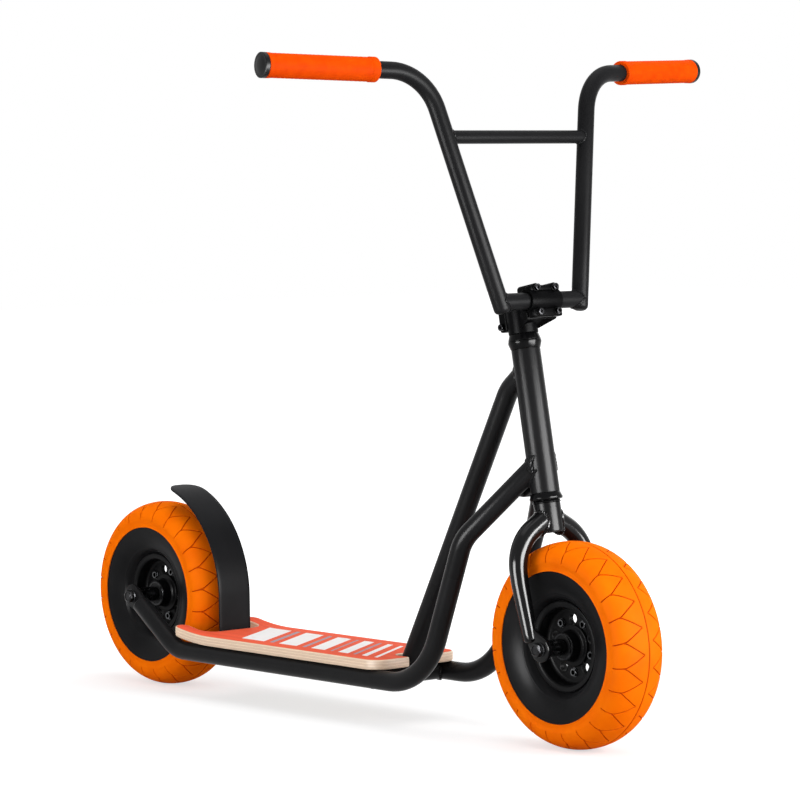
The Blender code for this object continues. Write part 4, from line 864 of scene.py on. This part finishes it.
def makeHub(end):
    radius, half, flange = values(wheel, "hubRadius hubHalf flangeRadius")
    pocket = radius - wheel["hubWall"]
    inner, shoulder = pocket - 0.004, half - wheel["bearingWidth"] - gap
    face = -(gap / 2 + wheel["sheet"] + gap)
    back = face - wheel["flangeThickness"]
    profile = contour((inner, shoulder), (pocket, shoulder), (pocket, half, 0.0003), (radius, half, 0.0009),
                      (radius, 0.0145, 0.0003), (radius - 0.0007, 0.014, 0.0003),
                      (radius - 0.0007, 0.0125, 0.0003), (radius, 0.012, 0.0003), (radius, face),
                      (flange, face, 0.0004), (flange, back, 0.0011),
                      (radius + 0.0022, back, 0.0022), (radius, back - 0.0022, 0.001),
                      (radius, -half, 0.0009),
                      (pocket, -half, 0.0003), (pocket, -shoulder), (inner, -shoulder), closed=True, step=15)
    finished(end + "_hub", spun(profile, 96, wheelPlaces[end]), "hubBlack", end + "_wheel")


def makeBearing(end, tag, side):
    outer, bore = wheel["hubRadius"] - wheel["hubWall"] - gap, wheel["axleRadius"] + gap
    face = wheel["hubHalf"]
    race, back = (outer - bore) * 0.22, face - wheel["bearingWidth"]
    rim, cone = outer - race, bore + race
    profile = [(outer, back), (outer, face - 0.0003), (outer - 0.0003, face), (rim, face),
               (rim, face - 0.0007),
               (rim - 0.0004, face - 0.0006), (rim - 0.0012, face - 0.0003), (cone + 0.0012, face - 0.0003),
               (cone + 0.0004, face - 0.0006), (cone, face - 0.0007), (cone, face), (bore + 0.0003, face),
               (bore, face - 0.0003), (bore, back)]
    bm = spun([(r, side * h) for r, h in profile], 64)
    painted(bm, 1, lambda c: cone + 1e-5 < sqrt(c.x ** 2 + c.y ** 2) < rim - 1e-5 and abs(c.z) > face - 0.001)
    finished(f"{end}_bearing_{tag}", placed(bm, wheelPlaces[end]), "darkSteel sealRubber", end + "_wheel")


for end in ("front", "rear"):
    for tag, side in sides:
        makeRimHalf(end, tag, side)
        makeBearing(end, tag, side)
    makeHub(end)
    for k in range(wheel["boltCount"]):
        makeRimBolt(end, k)
print("rims, hubs, bearings and bolts fitted")


# axles and nuts

axle = {
    "radius": 0.006, "spacerRadius": 0.0108, "nutRadius": 0.0098, "nutHeight": 0.008, "tail": 0.0035,
    "plate": 0.006, "washerHeight": 0.0014, "threadPitch": 0.00125, "threadDepth": 0.0005,
}


def threaded(radius, low, high):
    # ring grooves down a shaft, from low to high
    pitch, depth = values(axle, "threadPitch threadDepth")
    points, at = [], low
    while at + pitch < high - 0.0006:
        points += [(radius, at), (radius - depth, at + pitch / 2)]
        at += pitch
    return points + [(radius, high - 0.0008), (radius - 0.0009, high)]


def flangeNut(radius, low, high, turn=0):
    rise, bore = values(axle, "washerHeight radius")
    skirt = [(bore, low), (radius, low), (radius, low + rise * 0.5), (radius * 0.9, low + rise),
             (bore, low + rise)]
    dome = [(bore, high - 0.0012), (radius * 0.8, high - 0.0012), (radius * 0.76, high - 0.0004),
            (radius * 0.7, high), (bore, high)]
    hexagon = hexPrism(radius * 0.94, low + rise * 0.8, high - 0.0006, 0.0005, turn)
    return joined(spun(skirt, 48), hexagon, spun(dome, 48))


def makeAxle(end, support, body):
    radius, spacer, nut, plate, tail = values(axle, "radius spacerRadius nutRadius plate tail")
    inner, outer = support - plate / 2 - gap, support + plate / 2 + gap
    hubFace, top = wheel["hubHalf"] + gap, outer + axle["nutHeight"]
    shaft = [(0, -top + 0.0004)] + [(r, -h) for r, h in threaded(radius, outer, top - 0.0004)][::-1]
    shaft += threaded(radius, outer, top + tail) + [(0, top + tail)]
    sleeve = [(radius, hubFace), (spacer - 0.0022, hubFace), (spacer - 0.0018, hubFace + 0.0016),
              (spacer - 0.0004, hubFace + 0.0020), (spacer, hubFace + 0.0026), (spacer, inner - 0.0006),
              (spacer - 0.0006, inner), (radius, inner)]
    spacers = [spun([(r, side * h) for r, h in sleeve], 64) for side in (-1, 1)]
    head = placed(flangeNut(nut, outer, top, 0.3), Matrix.Rotation(pi, 4, "X"))
    bm = placed(joined(spun(shaft, 40), head, *spacers), wheelPlaces[end])
    finished(end + "_axle", bm, "darkSteel", body)
    finished(end + "_axle_nut", placed(flangeNut(nut, outer, top, 0.15), wheelPlaces[end]), "darkSteel", body)


makeAxle("front", layout["forkY"], "steering")
makeAxle("rear", layout["railY"], "frame")
print("axles and nuts fitted")


# frame tubes

headTube = {"length": 0.1876, "radius": 0.019, "wall": 0.002, "sink": 0.0008}
lug = {  # the plate under the head tube: circles of x, z and radius
    "circles": ((0.3435, 0.3265, 0.0070), (0.3320, 0.3245, 0.0045), (0.3595, 0.3335, 0.0050)),
    "halfWidth": 0.0070,
    "bevel": 0.0016, "screw": (0.0044, 0.0026),  # screw head radius, height
}
topTube = {"radius": 0.0134, "rise": 0.1635, "bendX": 0.312, "bendZ": 0.4575, "bend": 0.05}
rail = {
    "radius": 0.0132, "rise": 0.037, "headHalf": 0.0095, "endEdge": 0.0035,
    # x, z and bend radius of the corners after the head tube, then the dropout's circles
    "course": ((0.29, 0.265, 0.06), (0.21, layout["railZ"], 0.105), (-0.3305, layout["railZ"], 0.06),
               (-0.4165, 0.1245, 0)),
    "dropout": ((layout["rearX"], layout["axleHeight"], 0.0165), (-0.3985, 0.112, 0.0097)),
    "plateHalf": 0.003,
}
crossTubes = {"frontRadius": 0.0127, "brakeRadius": 0.011, "brakeX": -0.2657, "inset": 0.006, "sink": 0.0006}
brake = {  # its foot is on the frame's rear cross tube; hinge is x and z, foot its low and high z
    "halfWidth": 0.0275, "thickness": 0.0025, "radius": 0.15805, "arc": radians(78.5), "arcRise": 0.0052,
    "roundness": 2.5, "edge": 0.0008, "hinge": (-0.27545, 0.0842), "foot": (0.0517, 0.08405),
    "screwY": (-0.017, 0.017), "screwHead": (0.0052, 0.0032),
}
headWay = Vector((-sin(layout["steerTilt"]), 0, cos(layout["steerTilt"])))
headOutside = (layout["headBase"], headWay, headTube["radius"])


def makeHeadTube():
    radius, length = values(headTube, "radius length")
    circles, half, bevel, (head, high) = values(lug, "circles halfWidth bevel screw")
    bore = radius - headTube["wall"]
    sleeve = contour((bore, 0), (radius, 0), (radius, length), (bore, length), bend=0.0005, closed=True)
    parts = [spun(sleeve, 72, columnPlace), plateRound(circles, -half, half, bevel)]
    screw = [(0, -0.001), (head, -0.001)] + contour((head, 0), (head, high), (0.0024, high), bend=0.0009)[1:]
    screw += [(0.0022, high * 0.4), (0, high * 0.3)]
    for side in (-1, 1):
        seat = placeAt(circles[0][0], side * half, circles[0][1], -side * pi / 2)
        parts.append(painted(spun(screw, 28, seat), 1))
    finished("head_tube", joined(*parts), "satinBlackPaint blackOxide", "frame")


def makeTopTube():
    radius, rise, bendX, bendZ, bend = values(topTube, "radius rise bendX bendZ bend")
    foot = (layout["crossX"], 0, layout["railZ"])
    cross = (foot, (0, 1, 0), crossTubes["frontRadius"])
    start = Vector(layout["headBase"]) + headWay * rise
    path, widths = tubeStations([(start, 0), ((bendX, 0, bendZ), bend), (foot, 0)], radius)
    tube = swept(path, widths, 40, startOn=sunk(headOutside, headTube["sink"]),
                 endOn=sunk(cross, crossTubes["sink"]))
    beads = [weldBead(path[inner], path[end] - path[inner], radius, wall)
             for inner, end, wall in ((1, 0, headOutside), (-2, -1, cross))]
    finished("top_tube", joined(tube, *beads), "satinBlackPaint", "frame")


def makeRail(tag, side):
    radius, rise, headHalf, half = values(rail, "radius rise headHalf plateHalf")
    y = side * layout["railY"]
    start = Vector(layout["headBase"]) + headWay * rise + Vector((0, side * headHalf, 0))
    corners = [(start, 0)] + [((x, y, z), bend) for x, z, bend in rail["course"]]
    tube = weldedTube(corners, radius, headOutside, headTube["sink"], endEdge=rail["endEdge"])
    plate = plateRound(rail["dropout"], y - half, y + half)
    finished("rail_" + tag, joined(*tube, plate), "satinBlackPaint", "frame")


def makeCrossTubes():
    railY, railZ, crossX = values(layout, "railY railZ crossX")
    frontRadius, brakeRadius, brakeX = values(crossTubes, "frontRadius brakeRadius brakeX")
    inset, sink = values(crossTubes, "inset sink")
    walls = [((0, side * railY, railZ), (1, 0, 0), rail["radius"]) for side in (-1, 1)]
    parts = {}
    for node, x, radius in (("front_cross_tube", crossX, frontRadius), ("brake_mount", brakeX, brakeRadius)):
        ends = [Vector((x, side * (railY - inset), railZ)) for side in (-1, 1)]
        parts[node] = bridged(ends, radius, walls, (0, 0.25, 0.5, 0.75, 1), sink, 0.0021)
    half, (footX, _), (low, high), (head, tall) = values(brake, "halfWidth hinge foot screwHead")
    back = footX - brake["thickness"] / 2
    front = back + brake["thickness"]
    parts["brake_mount"].append(roundedBlock((back, -half, low), (front, half, high), 0.0006, 2))
    for y in brake["screwY"]:
        screw = placed(hexPrism(head, 0, tall, 0.0005, 0.2), placeAt(back, y, railZ + 0.002, -pi / 2, "Y"))
        parts["brake_mount"].append(screw)
    for node, pieces in parts.items():
        finished(node, joined(*pieces), "satinBlackPaint", "frame")


makeHeadTube()
makeTopTube()
for tag, side in sides:
    makeRail(tag, side)
makeCrossTubes()
print("frame tubes welded")


# headset

headset = {
    "skirt": 0.0167, "skirtWall": 0.0018, "cup": 0.0218, "lowerFoot": -0.0095, "raceFoot": -0.0133,
    "race": 0.0187, "raceTop": 0.0175, "upperTop": 0.1984, "coverTop": 0.2072, "neck": 0.0190,
    "raceBore": 0.0146,
}


def makeHeadset():
    skirt, cup, lowerFoot, upperTop, coverTop = values(headset, "skirt cup lowerFoot upperTop coverTop")
    race, raceFoot, raceTop, raceBore, neck = values(headset, "race raceFoot raceTop raceBore neck")
    bore, seat = skirt - headset["skirtWall"], headTube["radius"] + 0.0003
    foot, low = headTube["length"] + gap, upperTop + gap
    for node, body, step, *corners in (
            ("headset_lower_cup", "frame", 20, (bore, 0.012), (bore, lowerFoot),
             (cup - 0.0006, lowerFoot, 0.0006),
             (cup, lowerFoot + 0.0028, 0.0012), (seat, -gap, 0.0012), (skirt, -gap), (skirt, 0.012)),
            ("headset_upper_cup", "frame", 15, (bore, foot - 0.012), (skirt, foot - 0.012), (skirt, foot),
             (seat, foot, 0.0008), (cup, foot + 0.0078, 0.0024), (cup, upperTop, 0.0006), (bore, upperTop)),
            ("crown_race", "steering", 20, (raceBore, raceFoot), (race, raceFoot, 0.0004),
             (raceTop, lowerFoot - gap, 0.0005), (raceBore, lowerFoot - gap)),
            ("headset_cover", "steering", 15, (raceBore, low), (cup - 0.0004, low, 0.0004),
             (cup - 0.0006, low + 0.0016, 0.0012), (neck + 0.0004, low + 0.0074, 0.002),
             (neck, coverTop, 0.0003),
             (raceBore, coverTop))):
        finished(node, spun(contour(*corners, step=step), 72, columnPlace), "headsetBlack", body)


makeHeadset()
print("headset pressed in")


# fork

fork = {
    "steererRadius": 0.0143, "steererWall": 0.0025, "steererTop": 0.2540, "footRadius": 0.0175,
    "footTop": -0.0136, "footEnd": -0.0516, "legRadius": 0.0135, "tipRadius": 0.0095, "taper": 0.16,
    "rootDrop": 0.0155, "shoulderDrop": 0.034, "shoulderSetback": 0.004, "shoulderBend": 0.06,
    "kneeRise": 0.081, "kneeSetback": 0.0385, "kneeBend": 0.15, "tipRise": 0.007, "tipSetback": 0.0175,
    "tipEdge": 0.005, "dropoutRadius": 0.0165, "plateBack": 0.003, "plateRise": 0.012, "plateHalf": 0.003,
    "sink": 0.0006, "bead": 0.0023,
}


def makeFork():
    steerer, top, foot, footTop, footEnd = values(fork, "steererRadius steererTop footRadius footTop footEnd")
    bore = steerer - fork["steererWall"]
    profile = contour((bore, top), (bore, footEnd, 0.0008), (foot, footEnd, 0.0016), (foot, footTop, 0.0006),
                      (steerer, footTop), (steerer, top), step=15)
    finished("fork_steerer", spun(profile, 72, columnPlace), "footBlackPaint", "steering")
    radius, tip, tipEdge, taper, half = values(fork, "legRadius tipRadius tipEdge taper plateHalf")
    root, (x, z) = footTop - fork["rootDrop"], values(layout, "frontX axleHeight")
    shoulder = (-fork["shoulderSetback"], root - fork["shoulderDrop"])
    tipX, tipZ = x - fork["tipSetback"], z + fork["tipRise"]
    wall = (columnPlace.translation, columnPlace.to_3x3() @ Vector((0, 0, 1)), foot)
    for tag, side in sides:
        y = side * layout["forkY"]
        corners = [(columnPlace @ Vector((0, 0, root)), 0),
                   (columnPlace @ Vector((shoulder[0], y, shoulder[1])), fork["shoulderBend"]),
                   ((x - fork["kneeSetback"], y, z + fork["kneeRise"]), fork["kneeBend"]),
                   ((tipX, y, tipZ), 0)]
        leg = weldedTube(corners, radius, wall, *values(fork, "sink bead"),
                         endEdge=tipEdge, tip=tip, taper=taper)
        plate = [(x, z, fork["dropoutRadius"]),
                 (tipX - fork["plateBack"], tipZ + fork["plateRise"], tip - 0.0005)]
        bm = joined(*leg, plateRound(plate, y - half, y + half))
        finished("fork_leg_" + tag, bm, "glossBlackPaint", "steering")


makeFork()
print("fork built")


# stem: its X runs forward, Y to the left and Z up the column

stem = {
    "foot": 0.2075, "top": 0.2560, "clampRadius": 0.0195, "bore": 0.0146, "reach": 0.0398,
    "barHeight": 0.2448,
    "barRadius": 0.0111, "wall": 0.0042, "halfWidth": 0.0265, "neckHalf": 0.0150, "neckInset": 0.0035,
    "gussetDrop": 0.0090, "split": 0.0016, "slit": 0.0022,
    "ears": (0.029, 0.0145, 0.006),  # length, half width, inset from the clamp's ends
    "boltAside": 0.0158, "boltAbove": 0.0158, "bossRadius": 0.0056, "bossDepth": 0.0122, "bossRoot": 0.019,
    "flangeHalf": 0.0255, "rearHalf": 0.0215, "flangeIn": 0.0046, "flangeOut": (0.0030, 0.0064),
    # screws and cap: head radius and height, shank radius and length
    "faceBolt": (0.0042, 0.004, 0.0025, 0.026), "pinchBolt": (0.0044, 0.0045, 0.0026, 0.0303),
    "pinchSetback": 0.0225, "pinchSpacing": 0.023, "cap": (0.0175, 0.0035, 0.0115, 0.02),
}
barAxis = placeAt(stem["reach"], 0, stem["barHeight"], -pi / 2)
boltPlaces = [placeAt(0, side * stem["boltAside"], stem["barHeight"] + rise * stem["boltAbove"], pi / 2, "Y")
              for rise in (1, -1) for side in (-1, 1)]  # their own Z points forward
faceFoot = stem["reach"] + stem["split"] / 2
bossEnd = faceFoot + stem["bossDepth"]


def halfRing(first, last):
    # half a bar clamp: a rounded strip turned round the bar between two angles
    outer, inner, half = stem["barRadius"] + stem["wall"], stem["barRadius"] + gap, stem["halfWidth"]
    profile = contour((inner, -half), (outer, -half), (outer, half), (inner, half), bend=0.0011, closed=True)
    return spun(profile, 30, barAxis, angle=last - first, start=first)


def stemNeck(front):
    # a block that widens towards the bar, hollowed on four sides
    wide, slim, inset, drop = values(stem, "halfWidth neckHalf neckInset gussetDrop")
    low, high = stem["foot"] + inset, stem["top"] - inset
    dropped = stem["barHeight"] - (stem["barRadius"] + stem["wall"]) - drop
    neck = bmesh.new()
    bmesh.ops.create_cube(neck, size=1)
    for vert in neck.verts:
        x, y, z = vert.co
        half, under = (wide - 0.0004, dropped) if x > 0 else (slim, low)
        vert.co = (front if x > 0 else 0.010, half if y > 0 else -half, high if z > 0 else under)
    for way, thickness, depth in (((0, 0, -1), 0.0052, -0.0065), ((0, 0, 1), 0.0046, -0.0035),
                                  ((0, -1, 0), 0.0050, -0.0018), ((0, 1, 0), 0.0050, -0.0018)):
        face = max(neck.faces, key=lambda f: f.normal.dot(Vector(way)) * f.calc_area() ** 0.25)
        bmesh.ops.inset_region(neck, faces=[face], thickness=thickness, depth=depth, use_even_offset=True)
    return bevelled(neck, creased(neck, 20), 0.0014)


def makeStem():
    clamp, bore, foot, top = values(stem, "clampRadius bore foot top")
    root, boss, reach, half = values(stem, "bossRoot bossRadius reach rearHalf")
    slit, (earLength, earHalf, earInset) = stem["slit"] / 2, stem["ears"]
    edge, front = 2 * atan2(slit, clamp), reach - stem["split"] / 2
    sleeve = contour((bore, foot), (clamp, foot), (clamp, top), (bore, top), bend=0.0012, closed=True)
    parts = [spun(sleeve, 60, angle=2 * pi - edge, start=pi + edge / 2), stemNeck(front),
             halfRing(pi / 2 + 0.05, 3 * pi / 2 - 0.05)]
    earLow, earHigh = foot + earInset, top - earInset
    for near, far in ((-earHalf, -slit), (slit, earHalf)):
        parts.append(roundedBlock((-earLength, near, earLow), (-clamp * 0.72, far, earHigh), 0.0028))
    back = reach - root - 0.001
    rear = [(0, back), *contour((0.0005, back), (boss, back, 0.003), (boss, front, 0.0005), (0, front))]
    parts += [spun(rear, 32, place) for place in boltPlaces]
    flanges = []  # height ranges of the plates that tie the bosses, over and under the bar
    for rise, beyond in zip((1, -1), stem["flangeOut"]):
        w = stem["barHeight"] + rise * stem["boltAbove"]
        flanges.append(sorted((w - rise * stem["flangeIn"], w + rise * beyond)))
    parts += [roundedBlock((reach - root + 0.002, -half, low), (front, half, high), 0.0022)
              for low, high in flanges]
    finished("stem_body", placed(joined(*parts), columnPlace), "anodisedBlack", "steering")

    dome = contour((boss, bossEnd - 0.004), (boss, bossEnd), (0, bossEnd), bend=0.0012)
    post = [(0, faceFoot), (boss, faceFoot), *dome]
    half = stem["flangeHalf"]
    parts = [halfRing(-pi / 2 + 0.055, pi / 2 - 0.055)] + [spun(post, 32, place) for place in boltPlaces]
    parts += [roundedBlock((faceFoot, -half, low), (bossEnd - 0.0012, half, high), 0.0022)
              for low, high in flanges]
    finished("stem_faceplate", placed(joined(*parts), columnPlace), "anodisedBlack", "steering")


def openSocketScrew(head, top, shank, length, place):
    # a cap screw whose hexagon socket is really open: ring head, six-sided well, shank
    socket = head * 0.54
    shoulder = contour((head, 0.0004), (head, top), (socket, top), bend=0.00045)
    ring = [(socket * 0.86, 0.0002), (head, 0), *shoulder, (socket * 0.87, top - 0.0004)]
    well = [(0, top * 0.42), (socket, top * 0.42), (socket, top - 0.0003), (socket * 1.25, top - 0.0003),
            (socket * 1.25, 0.0003), (0, 0.0003)]
    stalk = [(0, -length), (shank - 0.0004, -length), (shank, -length + 0.0005), (shank, 0.0008), (0, 0.0008)]
    return joined(spun(ring, 32, place), spun(well, 6, place), spun(stalk, 20, place))


def makeStemHardware():
    for k, place in enumerate(boltPlaces):
        seat = columnPlace @ place @ Matrix.Translation((0, 0, bossEnd + gap))
        screw = openSocketScrew(*stem["faceBolt"], seat)
        finished(f"faceplate_bolt_{k + 1}", screw, "blackOxide", "steering")
    middle = (stem["foot"] + stem["top"]) / 2
    for k, rise in enumerate((0.5, -0.5)):
        spot = (-stem["pinchSetback"], -stem["ears"][1] - gap, middle + rise * stem["pinchSpacing"])
        seat = columnPlace @ Matrix.Translation(spot) @ Matrix.Rotation(pi / 2, 4, "X")
        finished(f"pinch_bolt_{k + 1}", openSocketScrew(*stem["pinchBolt"], seat), "blackOxide", "steering")
    radius, height, plug, depth = stem["cap"]
    foot = stem["top"] + gap
    top = foot + height
    cap = [(0, top - 0.0012), (0.0048, top - 0.0012), (0.0052, top - 0.0002),
           *contour((0.0052, top), (radius, top), (radius, foot), bend=0.0012), (radius, foot), (plug, foot),
           (plug, foot - depth), (0, foot - depth)]
    bolt = [(0, top - 0.0012), (0.0046, top - 0.0012),
            *contour((0.0046, top - 0.001), (0.0044, top - 0.0002), (0.0026, top), bend=0.0004),
            (0.0024, top - 0.0004), (0, top - 0.0006)]
    bm = placed(joined(spun(cap, 64), spun(bolt, 32)), columnPlace)
    finished("stem_top_cap", bm, "headsetBlack", "steering")


makeStem()
makeStemHardware()
print("stem and its screws fitted")


# handlebar, grips and plugs

bar = {
    "radius": 0.0111, "rise": 0.2994, "clampHalf": 0.0702, "bendHalf": 0.1425, "bend": 0.068,
    "endHalf": 0.3745,
    "backsweep": radians(9.2), "upsweep": radians(3.5), "setback": 0.0024, "tail": 0.0145, "tailEdge": 0.0062,
    "crossRise": 0.2147, "crossRadius": 0.0087,
}
grip = {
    "radius": 0.0162, "length": 0.1625, "end": -0.0036, "bore": 0.0114, "collar": 0.010, "waist": 0.0007,
    "ribs": 46, "ribDepth": 0.00016,
}
plug = {
    "radius": 0.01625, "band": -0.0033, "dome": 0.0040, "shoulder": 0.00176, "stem": 0.0088,
    "stemLength": 0.022,
}


def handPoint(out, side):
    run = out - bar["bendHalf"]
    return Vector((stem["reach"] - bar["setback"] - run * tan(bar["backsweep"]), side * out,
                   stem["barHeight"] + bar["rise"] + run * tan(bar["upsweep"])))


def legPoint(rise, side):
    share, low, high = rise / bar["rise"], bar["clampHalf"], bar["bendHalf"]
    return Vector((stem["reach"] - bar["setback"] * share, side * (low + (high - low) * share),
                   stem["barHeight"] + rise))


def makeHandlebar():
    radius, rise, parts = bar["radius"], bar["rise"], []
    for side in (-1, 1):
        corners = [(legPoint(-bar["tail"], side), 0), (legPoint(rise, side), bar["bend"]),
                   (handPoint(bar["endHalf"], side), 0)]
        path, widths = tubeStations(corners, radius, startEdge=bar["tailEdge"], step=radians(4))
        parts.append(swept(path, widths, 40))
    for height, size in ((0, radius), (bar["crossRise"], bar["crossRadius"])):
        ends = [legPoint(height, side) for side in (-1, 1)]
        walls = [(end, (legPoint(rise, side) - legPoint(0, side)).normalized(), radius)
                 for end, side in zip(ends, (-1, 1))]
        parts += bridged(ends, size, walls, (0.04, 0.3, 0.5, 0.7, 0.96), 0.0005, 0.0017)
    finished("handlebar", placed(joined(*parts), columnPlace), "barBlackPaint", "steering")


def makeGrip(tag, hand):
    radius, length, bore, collar, end = values(grip, "radius length bore collar end")
    start, stop, waist, count = collar - length, end - 0.006, radius - grip["waist"], grip["ribs"]
    profile = [(bore, -length)]
    profile += contour((bore + 0.001, -length), (radius, -length), (radius, start), bend=0.0019)[1:]
    profile += [(radius - 0.0002, start + 0.0006), (waist, start + 0.0016)]
    profile += [(waist + grip["ribDepth"] * (k % 2), start + 0.003 + (stop - start - 0.005) * k / (count - 1))
                for k in range(count)]
    profile += [(waist, stop - 0.0012), (radius - 0.0002, stop),
                *contour((radius, stop + 0.001), (radius, end), (bore, end), bend=0.0008)[1:]]
    finished("grip_" + tag, spun(profile, 72, hand), "gripOrange", "steering")


def makePlug(tag, hand):
    radius, band, dome, shoulder, shank, length = values(plug, "radius band dome shoulder stem stemLength")
    top, turn = gap + dome, gap + shoulder
    profile = [(0, top), (radius * 0.30, top - 0.0001), (radius * 0.60, top - 0.0007),
               (radius * 0.84, top - 0.0019), (radius * 0.96, turn + 0.0006), (radius, turn),
               (radius, band + 0.0004), (radius - 0.0004, band), (shank, band), (shank, -0.006),
               (shank - 0.0006, -0.0065), (shank, -0.007), (shank, -length + 0.0008),
               (shank - 0.0008, -length), (0, -length)]
    finished("bar_end_plug_" + tag, spun(profile, 64, hand), "plugPlastic", "steering")


makeHandlebar()
for tag, side in sides:
    tip = handPoint(bar["endHalf"], side)
    along = (tip - handPoint(bar["bendHalf"], side)).normalized()
    hand = columnPlace @ Matrix.Translation(tip) @ along.to_track_quat("Z", "Y").to_matrix().to_4x4()
    makeGrip(tag, hand)
    makePlug(tag, hand)
print("handlebar, grips and plugs fitted")


# deck

deck = {
    "underside": 0.0782, "thickness": 0.0135, "half": 0.0757, "front": 0.1255, "tail": -0.3255,
    "frontCorner": 0.026, "tailCorner": 0.012, "kickStart": 0.085, "kickRise": 0.0095,
    "notchFront": -0.2733, "notchHalf": 0.0505, "notchCorner": 0.022, "slotRoom": 0.0022, "edge": 0.0021,
    "screwX": (0.0735, -0.1955), "screwLow": 0.053,
    "screw": (0.005, 0.003, 0.003, 0.0312),  # head radius and height, shank radius and length
}


def makeDeck():
    under, thick, half, front, tail, room = values(deck, "underside thickness half front tail slotRoom")
    frontBend, tailBend = values(deck, "frontCorner tailCorner")
    notch, notchHalf, notchBend = values(deck, "notchFront notchHalf notchCorner")
    lean = atan2(topTube["bendX"] - layout["crossX"], topTube["bendZ"] - layout["railZ"])
    slotRear = layout["crossX"] + (under - layout["railZ"]) * tan(lean) - topTube["radius"] / cos(lean) - room
    slot = topTube["radius"] + room
    outline = contour((front, -slot, 0.003), (front, -half, frontBend), (tail, -half, tailBend),
                      (tail, -notchHalf, tailBend), (notch, -notchHalf, notchBend),
                      (notch, notchHalf, notchBend),
                      (tail, notchHalf, tailBend), (tail, half, tailBend), (front, half, frontBend),
                      (front, slot, 0.003), (slotRear, slot, slot * 0.98), (slotRear, -slot, slot * 0.98),
                      closed=True, step=7)
    bm = bmesh.new()
    face = bm.faces.new([bm.verts.new((x, y, under)) for x, y in outline])
    pushed = bmesh.ops.extrude_face_region(bm, geom=[face])["geom"]
    bmesh.ops.translate(bm, verts=vertsOf(pushed), vec=(0, 0, thick))
    bevelled(bm, rimsOf(bm), deck["edge"], 4)
    x, kickEnd = tail + 0.004, tail + deck["kickStart"]
    while x < front:
        bmesh.ops.bisect_plane(bm, geom=bm.verts[:] + bm.edges[:] + bm.faces[:], plane_co=(x, 0, 0),
                               plane_no=(1, 0, 0), dist=1e-6)
        x += 0.004 if x < kickEnd else 0.03
    for face in bm.faces:
        heights = [vert.co.z for vert in face.verts]
        isTop, isUnder = min(heights) > under + thick - 1e-5, max(heights) < under + 1e-5
        face.material_index = 1 if abs(face.normal.z) <= 0.99 else 0 if isTop else 2 if isUnder else 1
    ply = bm.verts.layers.float.new("ply")
    for vert in bm.verts:
        vert[ply] = (vert.co.z - under) / thick
        vert.co.z += deck["kickRise"] * (max(0, kickEnd - vert.co.x) / deck["kickStart"]) ** 2
    finished("deck", bm, "printedTop plywoodEdge mapleVeneer", "frame")
    for k, (side, x) in enumerate((side, x) for side in (-1, 1) for x in deck["screwX"]):
        place = placeAt(x, side * layout["railY"], deck["screwLow"] + deck["screw"][1], pi)
        finished(f"deck_screw_{k + 1}", openSocketScrew(*deck["screw"], place), "blackOxide", "frame")


makeDeck()
print("deck laid")


# foot brake

def tipShare(turn):
    # how wide the strip still is at this angle round its curl
    arc, roundness = values(brake, "arc roundness")
    tipStart = arc - brake["halfWidth"] / brake["radius"]
    past = max(0, (turn - tipStart) / (arc - tipStart))
    return max(0.003, 1 - past ** roundness) ** (1 / roundness)


def makeBrake():
    half, radius, arc, (hingeX, hingeZ) = values(brake, "halfWidth radius arc hinge")
    curl = Vector((layout["rearX"], 0, layout["axleHeight"] + brake["arcRise"]))
    steps = 60
    shares = [0.965 * k / steps for k in range(1, steps + 1)] + [0.975, 0.984, 0.991, 0.996, 0.999]
    stations = [(Vector((hingeX, 0, hingeZ + gap / 2 + rise)), 0) for rise in (0, 0.016, 0.032)]
    stations += [(curl + radius * Vector((cos(turn), 0, sin(turn))), turn)
                 for turn in (arc * share for share in shares)]
    bm = bmesh.new()
    ends = [bm.verts.new(stations[0][0] + Vector((0, y, 0))) for y in (-half, half)]
    bmesh.ops.subdivide_edges(bm, edges=[bm.edges.new(ends)], cuts=9)
    rim = bm.edges[:]
    for (_, turnBefore), (place, turn) in zip(stations, stations[1:]):
        row, rim = grownRim(bm, rim)
        slim = tipShare(turn) / tipShare(turnBefore)
        for vert in row:
            vert.co = place + Vector((0, vert.co.y * slim, 0))
    bmesh.ops.solidify(tidied(bm), geom=bm.faces[:], thickness=brake["thickness"])
    finished("brake_fender", bevelled(bm, creased(bm, 50), brake["edge"]), "matteBlackSteel", "brake")


makeBrake()
print("brake strip fitted")
